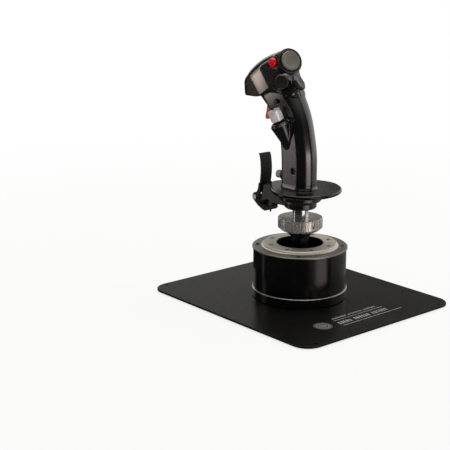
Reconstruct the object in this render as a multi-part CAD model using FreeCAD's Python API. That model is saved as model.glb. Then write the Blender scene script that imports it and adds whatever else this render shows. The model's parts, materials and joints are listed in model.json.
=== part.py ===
import FreeCAD, Part
import math
import os

# Flight joystick, in millimetres: base plate, round can with a two-axis gimbal, stick and grip.
# The origin is the centre of the underside of the base pad. +Z is up, +Y is forward, away
# from the pilot, and +X is to the pilot's right.

os.makedirs("parts", exist_ok=True)
Vector = FreeCAD.Vector
ALONG_X = (1, 0, 0)
SIDES = (-1, 1)


# ---- helpers ----
def cyl(radius, height, at, axis=(0, 0, 1)):
    return Part.makeCylinder(radius, height, Vector(*at), Vector(*axis))


def disc(radius, z0, z1):
    """Cylinder on the Z axis."""
    return cyl(radius, z1 - z0, (0, 0, z0))


def cyl_x(radius, length, x, yz):
    """Cylinder along +X from x, centred on the point yz."""
    return cyl(radius, length, (x, *yz), ALONG_X)


def cyls(radius, height, z, places):
    """Upright cylinders from height z, one at each (x, y)."""
    return [cyl(radius, height, (x, y, z)) for x, y in places]


def cone(r0, r1, height, at, axis=(0, 0, 1)):
    return Part.makeCone(r0, r1, height, Vector(*at), Vector(*axis))


def tube(outer_r, inner_r, z0, z1):
    return disc(outer_r, z0, z1).cut(disc(inner_r, z0 - 1, z1 + 1))


def box(x0, x1, y0, y1, z0, z1):
    return Part.makeBox(x1 - x0, y1 - y0, z1 - z0, Vector(x0, y0, z0))


def prism(points, push):
    """Closed polygon through the points, extruded by the vector push."""
    return Part.Face(Part.makePolygon(points + [points[0]])).extrude(push)


def revolve(profile):
    """Solid of revolution about Z from (radius, z) points."""
    points = [Vector(radius, 0, z) for radius, z in profile]
    face = Part.Face(Part.makePolygon(points + [points[0]]))
    return face.revolve(Vector(0, 0, 0), Vector(0, 0, 1), 360)


def extrude_x(outline, x0, x1):
    """Side outline of (y, z) points pushed from x0 to x1."""
    return prism([Vector(x0, y, z) for y, z in outline], Vector(x1 - x0, 0, 0))


def rise(edge):
    return abs(edge.Vertexes[0].Point.z - edge.Vertexes[1].Point.z)


def rounded_plate(size_x, size_y, radius, z0, height):
    plate = box(-size_x / 2, size_x / 2, -size_y / 2, size_y / 2, z0, z0 + height)
    return plate.makeFillet(radius, [e for e in plate.Edges if rise(e) > height / 2])


def fuse(first, *others):
    joined = first.multiFuse(list(others))
    try:
        return joined.removeSplitter()
    except Exception:  # merging faces can fail; the plain union then stands
        return joined


def cut(shape, *tools):
    for tool in tools:
        shape = shape.cut(tool)
    return shape


def fillet_if_valid(shape, radii, wanted, least_volume):
    """Fillet with the first radius that works, or return the shape as it is."""
    for radius in radii:
        try:  # a large radius can fail on these curved edges
            rounded = shape.makeFillet(radius, [e for e in shape.Edges if wanted(e)])
            if rounded.isValid() and rounded.Volume > least_volume:
                return rounded
        except Exception:
            pass
    return shape


def frame_of(origin, outward):
    """Placement at origin with local z along outward and local x level."""
    z_dir = Vector(*outward).normalize()
    x_dir = Vector(0, 0, 1).cross(z_dir)
    x_dir.normalize()
    y_dir = z_dir.cross(x_dir)
    return FreeCAD.Placement(FreeCAD.Matrix(
        x_dir.x, y_dir.x, z_dir.x, origin[0],
        x_dir.y, y_dir.y, z_dir.y, origin[1],
        x_dir.z, y_dir.z, z_dir.z, origin[2],
        0, 0, 0, 1))


def put(shape, frame):
    placed = shape.copy()
    placed.Placement = frame.multiply(placed.Placement)
    return placed


def sweep(points, radius):
    """Round bar along a smooth curve through the points."""
    curve = Part.BSplineCurve()
    curve.interpolate([Vector(*p) for p in points])
    path = Part.Wire(curve.toShape())
    edge = path.Edges[0]
    start = edge.FirstParameter
    circle = Part.makeCircle(radius, edge.valueAt(start), edge.tangentAt(start))
    return path.makePipeShell([Part.Wire(circle)], True, False)


def coil(mean_r, wire_r, pitch, turns, at, axis):
    helix = Part.makeHelix(pitch, pitch * turns, mean_r)
    circle = Part.makeCircle(wire_r, Vector(mean_r, 0, 0), Vector(0, 1, 0))
    spring = Part.Wire(helix.Edges).makePipeShell([Part.Wire(circle)], True, True)
    return put(spring, frame_of(at, axis))


def grid(xs, ys):
    return [(x, y) for x in xs for y in ys]


def ring_points(radius, count, first_deg):
    angles = [math.radians(first_deg + 360.0 * k / count) for k in range(count)]
    return [(radius * math.cos(a), radius * math.sin(a)) for a in angles]


def save(name, *shapes):
    solids = [solid for shape in shapes for solid in shape.Solids]
    result = solids[0] if len(solids) == 1 else Part.makeCompound(solids)
    result.exportStep("parts/%s.step" % name)


# ---- base plate and pad ----
PLATE_X, PLATE_Y, PLATE_T, PLATE_R = 254.0, 292.0, 2.5, 22.0
PAD_INSET, PAD_T, PAD_R = 2.5, 1.2, 20.0
PLATE_Z0 = PAD_T
PLATE_Z1 = PLATE_Z0 + PLATE_T
FLOOR_Z = PLATE_Z1 + 3.0  # top of the can floor
CORNER_HOLES = grid((-106.0, 106.0), (-139.0, 139.0))
CAN_HOLES = grid((-30.0, 30.0), (-30.0, 30.0))


def base_pad():
    pad = rounded_plate(PLATE_X - 2 * PAD_INSET, PLATE_Y - 2 * PAD_INSET, PAD_R, 0, PAD_T)
    return cut(pad, *cyls(7.0, 4, -1, CAN_HOLES), *cyls(4.2, 4, -1, CORNER_HOLES))


def base_plate():
    plate = rounded_plate(PLATE_X, PLATE_Y, PLATE_R, PLATE_Z0, PLATE_T)
    top_rim = [e for e in plate.Edges if abs(e.BoundBox.ZMin - PLATE_Z1) < 1e-4
               and abs(e.BoundBox.ZMax - PLATE_Z1) < 1e-4]
    plate = plate.makeChamfer(0.5, top_rim)
    for x, y in CAN_HOLES:  # countersunk from below
        plate = plate.cut(fuse(cyl(2.2, 6, (x, y, PLATE_Z0 - 1)),
                               cone(4.4, 2.2, 2.2, (x, y, PLATE_Z0))))
    return cut(plate, *cyls(2.3, 6, PLATE_Z0 - 1, CORNER_HOLES))


def plate_screw(x, y):
    screw = fuse(cone(4.3, 2.0, 2.2, (x, y, PLATE_Z0 + 0.05)),
                 cyl(2.0, FLOOR_Z - 1.0 - PLATE_Z0, (x, y, PLATE_Z0 + 1)))
    return screw.cut(cyl(1.3, 1.0, (x, y, PLATE_Z0)))


save("base_pad", base_pad())
save("base_plate", base_plate())
save("plate_screws", *[plate_screw(x, y) for x, y in CAN_HOLES])

# ---- can ----
LOW_R, LOW_INNER_R, LOW_Z1 = 59.2, 56.0, 14.6
BAND_R, BAND_INNER_R, BAND_Z1 = 60.0, 56.1, LOW_Z1 + 1.6
BAND_BEVEL = 0.4
CAN_R, CAN_INNER_R, CAN_Z1 = 58.6, 56.2, 67.0
FLANGE_R, FLANGE_HOLE_R, FLANGE_Z1 = 60.0, 36.0, CAN_Z1 + 2.2
RING_R, RING_FOOT_R, RING_HOLE_R, RING_Z1 = 46.6, 48.6, 30.0, FLANGE_Z1 + 4.0
RING_HOLES = ring_points(38.4, 8, 22.5)
POSTS = ring_points(53.2, 4, 45)
SPIGOT_R, SPIGOT_H = 1.5, 2.2  # feet of the standoff posts
SCREW_R = 1.25

# the cable leaves the can along this line
CABLE_ANGLE = math.radians(58.0)
CABLE_DIR = (math.cos(CABLE_ANGLE), math.sin(CABLE_ANGLE), 0.0)
CABLE_Z = 10.65


def cable_point(reach):
    return (CABLE_DIR[0] * reach, CABLE_DIR[1] * reach, CABLE_Z)


def cable_cyl(radius, length, reach):
    return cyl(radius, length, cable_point(reach), CABLE_DIR)


def lower_can():
    can = revolve([
        (0, PLATE_Z1), (LOW_R - 1.0, PLATE_Z1), (LOW_R, PLATE_Z1 + 1.0), (LOW_R, LOW_Z1),
        (LOW_INNER_R, LOW_Z1), (LOW_INNER_R, FLOOR_Z), (0, FLOOR_Z)])
    return cut(can, *cyls(2.0, 8, PLATE_Z1 - 1, CAN_HOLES),
               *cyls(SPIGOT_R, SPIGOT_H, FLOOR_Z - SPIGOT_H, POSTS), cable_cyl(3.2, 20, 50))


def trim_band():
    return revolve([
        (BAND_INNER_R, LOW_Z1), (BAND_R - BAND_BEVEL, LOW_Z1), (BAND_R, LOW_Z1 + BAND_BEVEL),
        (BAND_R, BAND_Z1 - BAND_BEVEL), (BAND_R - BAND_BEVEL, BAND_Z1), (BAND_INNER_R, BAND_Z1)])


def main_can():
    return revolve([(CAN_INNER_R, BAND_Z1), (CAN_R, BAND_Z1), (CAN_R, CAN_Z1),
                    (CAN_INNER_R, CAN_Z1)])


def top_flange():
    flange = revolve([
        (FLANGE_HOLE_R, CAN_Z1), (FLANGE_R - 0.3, CAN_Z1), (FLANGE_R, CAN_Z1 + 0.3),
        (FLANGE_R, FLANGE_Z1 - 0.6), (FLANGE_R - 0.6, FLANGE_Z1), (FLANGE_HOLE_R, FLANGE_Z1)])
    return cut(flange, *cyls(1.3, 6, CAN_Z1 - 2, POSTS),
               *cyls(SCREW_R, 6, CAN_Z1 - 2, RING_HOLES))


def opening_ring():
    ring = revolve([
        (RING_HOLE_R, FLANGE_Z1), (RING_FOOT_R, FLANGE_Z1), (RING_FOOT_R, FLANGE_Z1 + 0.9),
        (RING_R + 0.5, FLANGE_Z1 + 1.5), (RING_R, FLANGE_Z1 + 2.1), (RING_R, RING_Z1 - 1.0),
        (RING_R - 1.0, RING_Z1), (RING_HOLE_R, RING_Z1)])
    return cut(ring, *[fuse(cyl(1.6, 8, (x, y, FLANGE_Z1 - 1)),
                            cone(1.6, 3.1, 1.6, (x, y, RING_Z1 - 1.6))) for x, y in RING_HOLES])


def opening_liner():
    return revolve([
        (29.15, 67.4), (35.9, 67.4), (35.9, FLANGE_Z1), (29.95, FLANGE_Z1), (29.95, RING_Z1),
        (29.7, RING_Z1 + 0.2), (29.15, RING_Z1 - 0.2)])


def ring_screw(x, y):
    screw = fuse(cone(SCREW_R, 2.9, 1.45, (x, y, RING_Z1 - 1.6)),
                 cyl(SCREW_R, 4.2, (x, y, RING_Z1 - 5.7)))
    return screw.cut(cyl(0.9, 1.2, (x, y, RING_Z1 - 1.15)))


def flange_screw(x, y):
    screw = fuse(cyl(2.4, 0.9, (x, y, FLANGE_Z1)), cyl(SCREW_R, 9.0, (x, y, FLANGE_Z1 - 9.0)))
    return screw.cut(cyl(0.9, 0.6, (x, y, FLANGE_Z1 + 0.4)))


def standoff_post(x, y):
    post = fuse(cyl(2.8, CAN_Z1 - FLOOR_Z, (x, y, FLOOR_Z)),
                cyl(SPIGOT_R, SPIGOT_H, (x, y, FLOOR_Z - SPIGOT_H)))
    return post.cut(cyl(SCREW_R, 9, (x, y, CAN_Z1 - 8)))


save("lower_can", lower_can())
save("trim_band", trim_band())
save("main_can", main_can())
save("top_flange", top_flange())
save("opening_ring", opening_ring())
save("opening_liner", opening_liner())
save("ring_screws", *[ring_screw(x, y) for x, y in RING_HOLES])
save("flange_screws", *[flange_screw(x, y) for x, y in POSTS])
save("standoff_posts", *[standoff_post(x, y) for x, y in POSTS])

# ---- gimbal: roll axis along Y, pitch axis along X ----
PIVOT_Z = 38.0
SHAFT_R = 3.0
BUSH_INNER_R, BUSH_R = SHAFT_R + 0.04, 5.0
BUSH_START, BUSH_LENGTH = 43.6, 5.9  # roll bushes
HOUSING_R, HOUSING_INNER_R = 50.0, 46.5
SHAFT_START = 12.5  # inner ends of the pitch shafts
GIMBAL_RING_R, GIMBAL_RING_INNER_R, GIMBAL_RING_H = 37.0, 31.0, 12.0
BALL_R = 27.0
BALL_FLAT_Z = PIVOT_Z - 14.0
TAIL_Z = BALL_FLAT_Z - 9
BALL_BOSSES = ring_points(17.5, 4, 45)
BOARD_Z0, BOARD_Z1 = FLOOR_Z + 1.2, FLOOR_Z + 2.8


def roll_cyl(radius, length, start, side):
    return cyl(radius, length, (0, side * start, PIVOT_Z), (0, side, 0))


def pitch_cyl(radius, length, start, side):
    return cyl(radius, length, (side * start, 0, PIVOT_Z), (side, 0, 0))


def gimbal_housing():
    housing = revolve([
        (HOUSING_INNER_R, FLOOR_Z), (HOUSING_R, FLOOR_Z), (HOUSING_R, CAN_Z1), (36.5, CAN_Z1),
        (36.5, 63.0), (HOUSING_INNER_R, 62.0)])
    for side in SIDES:
        boss = roll_cyl(8.0, BUSH_LENGTH, BUSH_START, side)
        housing = housing.fuse(boss.common(cyl(HOUSING_R - 0.5, 60, (0, 0, 7))))
    return cut(housing, *[roll_cyl(BUSH_R, 12, 42, side) for side in SIDES],
               *cyls(1.6, 8, 61, RING_HOLES), cable_cyl(5.0, 30, 40))


def roll_bush(side):
    bush = roll_cyl(BUSH_R, BUSH_LENGTH, BUSH_START, side)
    return bush.cut(roll_cyl(BUSH_INNER_R, 10, 42, side))


def gimbal_ring():
    ring = tube(GIMBAL_RING_R, GIMBAL_RING_INNER_R,
                PIVOT_Z - GIMBAL_RING_H / 2, PIVOT_Z + GIMBAL_RING_H / 2)
    return cut(ring, roll_cyl(SHAFT_R, 100, -50, 1), pitch_cyl(BUSH_R, 100, -50, 1))


def pitch_bush(side):
    bush = fuse(pitch_cyl(BUSH_R, 5.6, 31.2, side), pitch_cyl(6.2, 0.8, 37.0, side),
                pitch_cyl(BUSH_R, 1.4, 36.2, side))
    return bush.cut(pitch_cyl(BUSH_INNER_R, 20, 28, side))


def pitch_shaft(side):
    return fuse(pitch_cyl(SHAFT_R, 31.0, SHAFT_START, side), pitch_cyl(4.4, 1.2, 42.6, side))


def sensor_magnet():
    return cyl(3.5, 4.0, (0, 0, TAIL_Z))


def gimbal_ball():
    """Ball with a flat underside, four bosses on top and a tail below."""
    ball = Part.makeSphere(BALL_R, Vector(0, 0, PIVOT_Z)).common(cyl(40, 34, (0, 0, BALL_FLAT_Z)))
    for x, y in BALL_BOSSES:
        ball = ball.fuse(cone(5.2, 4.2, 15.0, (x, y, PIVOT_Z + 12)))
    ball = ball.fuse(cyl(4.5, 10, (0, 0, TAIL_Z)))
    ball = cut(ball, cyl(8.0, 30, (0, 0, 47.0)),
               *[pitch_cyl(SHAFT_R, 30, SHAFT_START, side) for side in SIDES],
               sensor_magnet(), *cyls(1.4, 6, PIVOT_Z + 22, BALL_BOSSES))
    return ball.removeSplitter()


def sensor_board():
    return fuse(box(-14, 14, -14, 14, BOARD_Z0, BOARD_Z1),
                box(-3, 3, -3, 3, BOARD_Z1, FLOOR_Z + 3.9),
                *cyls(2.0, 1.4, FLOOR_Z, grid((-11, 11), (-11, 11))))


def main_board():
    return fuse(box(-16, 16, -41, -24, BOARD_Z0, BOARD_Z1),
                box(-6, 6, -36, -28, BOARD_Z1, FLOOR_Z + 4.2),
                box(9, 15, -34, -27, BOARD_Z1, FLOOR_Z + 7.0),
                box(-15, -10, -38, -27, BOARD_Z1, FLOOR_Z + 6.0),
                *cyls(2.0, 1.4, FLOOR_Z, grid((-12, 12), (-38, -27))))


save("gimbal_housing", gimbal_housing())
save("roll_bushes", *[roll_bush(side) for side in SIDES])
save("roll_springs", *[coil(5.0, 0.6, 1.35, 2.6, (0, side * 38.4, PIVOT_Z), (0, side, 0))
                       for side in SIDES])
save("gimbal_ring", gimbal_ring())
save("roll_shafts", *[roll_cyl(SHAFT_R, 17.4, 31.6, side) for side in SIDES])
save("pitch_bushes", *[pitch_bush(side) for side in SIDES])
save("pitch_shafts", *[pitch_shaft(side) for side in SIDES])
save("pitch_springs", *[coil(5.0, 0.6, 1.25, 2.4, (side * 38.7, 0, PIVOT_Z), (side, 0, 0))
                        for side in SIDES])
save("gimbal_ball", gimbal_ball())
save("sensor_magnet", sensor_magnet())
save("sensor_board", sensor_board())
save("main_board", main_board())

# ---- cable: out of the can, round a rising coil, then a straight tail to the plug ----
LOOP_X, LOOP_Y, LOOP_R = 86.0, 96.0, 29.0
LOOP_Z0, LOOP_RISE = 6.1, 11.8
LOOP_START_DEG, LOOP_SWEEP_DEG, LOOP_STEPS = 168.0, 923.0, 30
TAIL_DIR = (-0.574, -0.819)
TAIL = [(8, 17.9), (16, 16.0), (24, 11.2), (31, 9.0), (36, 8.6), (40, 8.6)]  # run, z

cable_points = [cable_point(reach) for reach in (49.0, 54, 59, 64, 69, 73)]
cable_points += [(45.6, 73.5, 8.6), (52.2, 86.5, 6.7)]
for step in range(LOOP_STEPS + 1):
    angle = math.radians(LOOP_START_DEG - LOOP_SWEEP_DEG * step / LOOP_STEPS)
    cable_points.append((LOOP_X + LOOP_R * math.cos(angle), LOOP_Y + LOOP_R * math.sin(angle),
                         LOOP_Z0 + LOOP_RISE * step / LOOP_STEPS))
loop_end = cable_points[-1]


def tail_point(run, z):
    return (loop_end[0] + TAIL_DIR[0] * run, loop_end[1] + TAIL_DIR[1] * run, z)


def cable_gland():
    gland = fuse(cable_cyl(3.1, 10, 52), cable_cyl(3.9, 2.8, 59.25),
                 cone(3.6, 2.9, 8.0, cable_point(61.5), CABLE_DIR))
    return gland.cut(cable_cyl(2.3, 30, 45))


def usb_plug():
    body = box(-7.5, 7.5, -4.2, 4.2, 0, 20.0)
    body = body.makeFillet(2.0, [e for e in body.Edges if rise(e) > 10])
    shell = box(-6.0, 6.0, -2.25, 2.25, 20.0, 32.0).cut(box(-5.6, 5.6, -1.85, 1.85, 20.6, 32.6))
    return put(fuse(body, shell), frame_of(tail_point(40.2, 8.6), (*TAIL_DIR, 0)))


save("cable_gland", cable_gland())
save("usb_cable", sweep(cable_points + [tail_point(run, z) for run, z in TAIL], 2.1))
save("usb_plug", usb_plug())

# ---- stick ----
STEM_R, THREAD_R = 10.5, 17.95
NECK_R, NECK_INNER_R, NECK_Z1 = 10.0, 6.0, 121.0
NUT_R, NUT_Z0, NUT_Z1 = 28.0, 90.0, 106.0
NUT_BORE_R, NUT_LIP_R = THREAD_R + 0.07, 10.2
NUT_RIBS, NUT_GROOVE = 40, 0.9
NUT_HOLE_ANGLE = math.radians(-97.5)


def stick_adapter():
    return revolve([
        (0, 48.0), (8.0, 48.0), (8.0, 58.0), (STEM_R, 58.0), (STEM_R, 80.0), (13.5, 83.5),
        (THREAD_R, 88.0), (THREAD_R, 99.2), (THREAD_R - 0.8, 100.0), (5.0, 100.0),
        (5.0, 56.0), (0, 56.0)])


def grip_neck():
    return revolve([(NECK_INNER_R, 100.0), (16.5, 100.0), (16.5, 103.0), (NECK_R, 103.0),
                    (NECK_R, NECK_Z1), (NECK_INNER_R, NECK_Z1)])


def lock_nut():
    """Ribbed nut with an inner lip at the top and one radial hole."""
    star = []
    for rib in range(NUT_RIBS):
        for offset, radius in ((-0.32, NUT_R), (0.32, NUT_R),
                               (0.36, NUT_R - NUT_GROOVE), (0.64, NUT_R - NUT_GROOVE)):
            angle = 2 * math.pi * (rib + offset) / NUT_RIBS
            star.append(Vector(radius * math.cos(angle), radius * math.sin(angle), NUT_Z0 - 1))
    ribs = prism(star, Vector(0, 0, NUT_Z1 - NUT_Z0 + 2))
    blank = revolve([
        (NUT_BORE_R, NUT_Z0), (24.2, NUT_Z0), (28.1, NUT_Z0 + 3.6), (28.1, NUT_Z1 - 0.8),
        (27.3, NUT_Z1), (NUT_LIP_R, NUT_Z1), (NUT_LIP_R, 104.2), (NUT_BORE_R, 104.2)])
    along_x, along_y = math.cos(NUT_HOLE_ANGLE), math.sin(NUT_HOLE_ANGLE)
    hole = cyl(1.6, 14, (along_x * 20, along_y * 20, (NUT_Z0 + NUT_Z1) / 2), (along_x, along_y, 0))
    return blank.common(ribs).cut(hole).removeSplitter()


save("stick_adapter", stick_adapter())
save("grip_neck", grip_neck())
save("lock_nut", lock_nut())
save("nut_washer", tube(17.4, NECK_R + 0.1, 103.1, 104.1))

# ---- collar, paddle arm and hand rest ----
COLLAR_R0, COLLAR_R1 = 20.0, 26.5
COLLAR_Z0, COLLAR_STEP_Z, COLLAR_Z1 = 118.0, 127.0, 138.1
COLLAR_SCREWS = [(-11.5, 11.0), (11.5, 11.0), (-11.5, -9.0), (11.5, -9.0)]
REST_Z0, REST_Z1 = COLLAR_Z1, COLLAR_Z1 + 5.0
PADDLE_PIVOT = (74.0, 119.5)  # y, z
PADDLE_PIN_R = 2.0
PADDLE_BORE = cyl_x(PADDLE_PIN_R + 0.03, 40, -20, PADDLE_PIVOT)
ARM_HALF_X = 8.2
ARM = [  # y, z
    (16.0, 117.4), (34.0, 117.0), (46.0, 117.0), (49.5, 119.5), (57.0, 119.5), (60.0, 117.3),
    (69.5, 115.6), (74.0, 115.0), (78.5, 119.5), (75.5, 123.4), (70.0, 122.6), (64.5, 124.6),
    (61.5, 130.0), (60.5, 136.4), (59.0, 137.9), (16.0, 137.9)]
REST = [  # degrees from +X, radius
    (0, 53.3), (20, 52), (45, 51), (70, 51), (85, 51.8), (96, 50), (105, 46), (115, 42),
    (125, 39.2), (140, 37.6), (155, 37.8), (170, 39.6), (185, 42), (200, 44.8), (215, 47),
    (232, 48.7), (250, 49.5), (270, 49.6), (300, 50.3), (330, 51.6), (345, 52.8)]


def grip_collar():
    collar = revolve([
        (5.0, COLLAR_Z0), (COLLAR_R0 - 1.6, COLLAR_Z0), (COLLAR_R0, COLLAR_Z0 + 1.6),
        (COLLAR_R0, 125.0), (COLLAR_R0 + 1.6, COLLAR_STEP_Z), (COLLAR_R1 - 2.2, COLLAR_STEP_Z),
        (COLLAR_R1, COLLAR_STEP_Z + 2.4), (COLLAR_R1, COLLAR_Z1), (5.0, COLLAR_Z1)])
    collar = cut(collar, disc(NECK_R, COLLAR_Z0, NECK_Z1),
                 box(-ARM_HALF_X, ARM_HALF_X, 16.0, 40, 117.4, 139))  # pocket for the arm
    for x, y in COLLAR_SCREWS:
        collar = collar.cut(fuse(cyl(1.6, 20, (x, y, 120)), cyl(2.9, 14.0, (x, y, 117))))
    return collar.removeSplitter()


def paddle_arm():
    arm = extrude_x(ARM, -ARM_HALF_X, ARM_HALF_X)
    return cut(arm, box(-4.2, 4.2, 68.2, 90, 110, 130), PADDLE_BORE)


def collar_screw(x, y):
    screw = fuse(cyl(2.7, 3.0, (x, y, 128.0)), cyl(1.5, 22.5, (x, y, 130.5)))
    return screw.cut(cyl(1.2, 1.6, (x, y, 128.0)))


def hand_rest():
    points = [(radius, math.radians(degrees)) for degrees, radius in REST]
    curve = Part.BSplineCurve()
    curve.interpolate([Vector(radius * math.cos(angle), radius * math.sin(angle), REST_Z0)
                       for radius, angle in points], PeriodicFlag=True)
    rest = Part.Face(Part.Wire(curve.toShape())).extrude(Vector(0, 0, REST_Z1 - REST_Z0))
    rest = fillet_if_valid(rest, (2.2, 1.8, 1.2), lambda e: e.BoundBox.XLength > 50, 1000)
    return cut(rest, cyl(6.0, 10, (0, 0, REST_Z0 - 1)),
               *cyls(1.6, 10, REST_Z0 - 1, COLLAR_SCREWS))


save("grip_collar", grip_collar())
save("paddle_arm", paddle_arm())
save("collar_screws", *[collar_screw(x, y) for x, y in COLLAR_SCREWS])
save("hand_rest", hand_rest())

# ---- grip shells ----
WALL = 2.6
TUBE_HALF_X, TUBE_R = 15.6, 16.3
HEAD_HALF_X = 18.0
HEAD_NOSE_Y, HEAD_NOSE_R = 96.4, 17.6
HEAD_CENTRE = (50.0, 276.0)  # y, z that the inner outline shrinks towards
TUBE_SECTIONS = [  # z, centre y of the rear round, front y of the flat sides, nose y
    (REST_Z1, -4.6, 15.8, 25.5), (165.0, -4.6, 16.2, 25.5), (190.0, -3.5, 17.5, 27.0),
    (208.0, -0.2, 20.5, 31.0), (226.6, 4.6, 28.5, 41.0), (243.0, 11.4, 43.0, 55.5),
    (250.5, 15.6, 51.0, 64.0), (262.0, 22.5, 57.0, 70.0)]
# side outline of the head, y and z
HEAD_TOP = [(29.4, 309.8), (40.0, 307.8), (51.0, 303.9), (66.5, 296.2), (81.0, 285.6),
            (91.5, 273.0), (95.8, 262.0), (93.2, 253.6), (86.0, 249.2)]
HEAD_LOW = [(68.0, 250.4), (56.0, 253.6), (42.0, 260.0), (26.0, 260.4)]
HEAD_REAR = [(3.4, 256.0), (7.0, 266.0), (10.6, 276.0), (15.9, 285.4)]

# frames of the controls: face origin, outward axis
TRIM_FRAME = frame_of((-1.96, 19.1, 299.2), (-0.235, -0.894, 0.378))
TMS_FRAME = frame_of((-3.5, 0.35, 275.6), (0.33, -0.75, 0.573))
DMS_FRAME = frame_of((-22.4, 14.0, 275.5), (-0.88, -0.45, 0.15))
RELEASE_FRAME = frame_of((-18.1, 34.4, 297.0), (-0.75, -0.50, 0.43))
CMS_FRAME = frame_of((-21.3, 16.9, 222.9), (-0.359, 0.213, 0.909))
PINKY_FRAME = frame_of((-6.0, 36.7, 156.0), (-0.25, 0.968, 0.0))
MASTER_YZ = (28.6, 248.8)
TRIGGER_PIVOT = (49.5, 246.0)  # y, z
TRIGGER_PIN_R = 1.5
# bosses along X that join the halves: (y, z), side of the screw head
JOINTS = [((-1.8, 166.0), -1), ((8.0, 208.0), 1), ((74.0, 266.0), 1), ((49.0, 270.0), 1)]
TRIGGER_SLOT = [(44.6, 253.0), (57.0, 253.5), (66.0, 244.0), (66.0, 216.0), (40.0, 216.0),
                (40.0, 236.0), (43.0, 246.0)]  # y, z


def tube_section(z, centre_y, flat_y, nose_y, inset):
    radius, half_x = TUBE_R - inset, TUBE_HALF_X - inset
    drop = math.sqrt(radius * radius - half_x * half_x)
    nose_y = nose_y - inset
    rear_y = centre_y - drop
    rear = Part.Arc(Vector(half_x, rear_y, z), Vector(0, centre_y - radius, z),
                    Vector(-half_x, rear_y, z)).toShape()
    left = Part.makeLine(Vector(-half_x, rear_y, z), Vector(-half_x, flat_y, z))
    nose = Part.BSplineCurve()
    nose.interpolate([Vector(-half_x * math.cos(t), flat_y + (nose_y - flat_y) * math.sin(t), z)
                      for t in [math.pi * k / 12 for k in range(13)]],
                     InitialTangent=Vector(0, 1, 0), FinalTangent=Vector(0, -1, 0))
    right = Part.makeLine(Vector(half_x, flat_y, z), Vector(half_x, rear_y, z))
    return Part.Wire([rear, left, nose.toShape(), right])


def tube_loft(inset):
    return Part.makeLoft([tube_section(*row, inset) for row in TUBE_SECTIONS], True, False)


def shrink(points, distance):
    """Move (y, z) points towards the centre of the head."""
    moved = []
    for y, z in points:
        to_y, to_z = HEAD_CENTRE[0] - y, HEAD_CENTRE[1] - z
        length = math.hypot(to_y, to_z)
        moved.append((y + to_y / length * distance, z + to_z / length * distance))
    return moved


def head_solid(inset):
    top = shrink(HEAD_TOP, inset * 1.08)
    half_x = HEAD_HALF_X - inset
    curve = Part.BSplineCurve()
    curve.interpolate([Vector(-half_x, y, z) for y, z in top])
    chain = [top[-1]] + shrink(HEAD_LOW, inset * 1.1) + shrink(HEAD_REAR, inset * 1.15) + [top[0]]
    edges = [curve.toShape()]
    for start, end in zip(chain[:-1], chain[1:]):
        edges.append(Part.makeLine(Vector(-half_x, *start), Vector(-half_x, *end)))
    body = Part.Face(Part.Wire(edges)).extrude(Vector(2 * half_x, 0, 0))
    # rounded nose in plan
    nose_y, nose_r = HEAD_NOSE_Y - inset, HEAD_NOSE_R - inset
    side_x, round_y = half_x - nose_r, nose_y - nose_r
    plan = fuse(box(-half_x, half_x, 19.0, round_y, 230, 320),
                box(-side_x, side_x, 19.0, nose_y, 230, 320),
                cyl(nose_r, 90, (side_x, round_y, 230)), cyl(nose_r, 90, (-side_x, round_y, 230)))
    # round back that follows the leaning spine
    spine = put(disc(HEAD_HALF_X + 0.6 - inset, 0, 180),
                frame_of((0, 21.9 - 0.424 * 40, 216), (0, 0.39, 0.92)))
    back = fuse(spine, box(-half_x - 5, half_x + 5, 25, 120, 225, 330))
    return body.common(plan).common(back).removeSplitter()


def grip_outer():
    """Outside of the grip with the housings of the controls."""
    head = fillet_if_valid(
        head_solid(0.0), (6.0, 4.5, 3.0),
        lambda e: e.Curve.TypeId == "Part::GeomBSplineCurve" and e.Length > 60, 20000)
    cms_housing = fuse(cone(7.0, 12.2, 27.0, (0, 0, -27)),
                       Part.makeSphere(7.0, Vector(0, 0, -27)),
                       disc(11.0, 0, 1.2), disc(10.2, 1.2, 2.6))
    outer = fuse(tube_loft(0.0), head,
                 put(disc(16.2, -16, -2.4), TRIM_FRAME), put(disc(8.2, -22, -7.4), TMS_FRAME),
                 put(disc(8.2, -19, -7.4), DMS_FRAME), put(cms_housing, CMS_FRAME),
                 put(disc(7.1, -20.0, -7.6), PINKY_FRAME))
    return outer.cut(put(disc(6.9, -1.6, 30), RELEASE_FRAME))


def grip_inner():
    """Hollow of the grip, less the walls behind the clearance cuts for the hats."""
    inner = fuse(tube_loft(WALL), head_solid(WALL + 0.2))
    inner = inner.common(box(-40, 40, -60, 120, REST_Z1 + 3.0, 330))
    return cut(inner, put(cone(11.4, 12.9, 19.0, (0, 0, 1.0)), CMS_FRAME),
               put(disc(12.6, -9.8, 6.0), DMS_FRAME), put(disc(14.0, -9.8, 6.0), TMS_FRAME))


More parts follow.
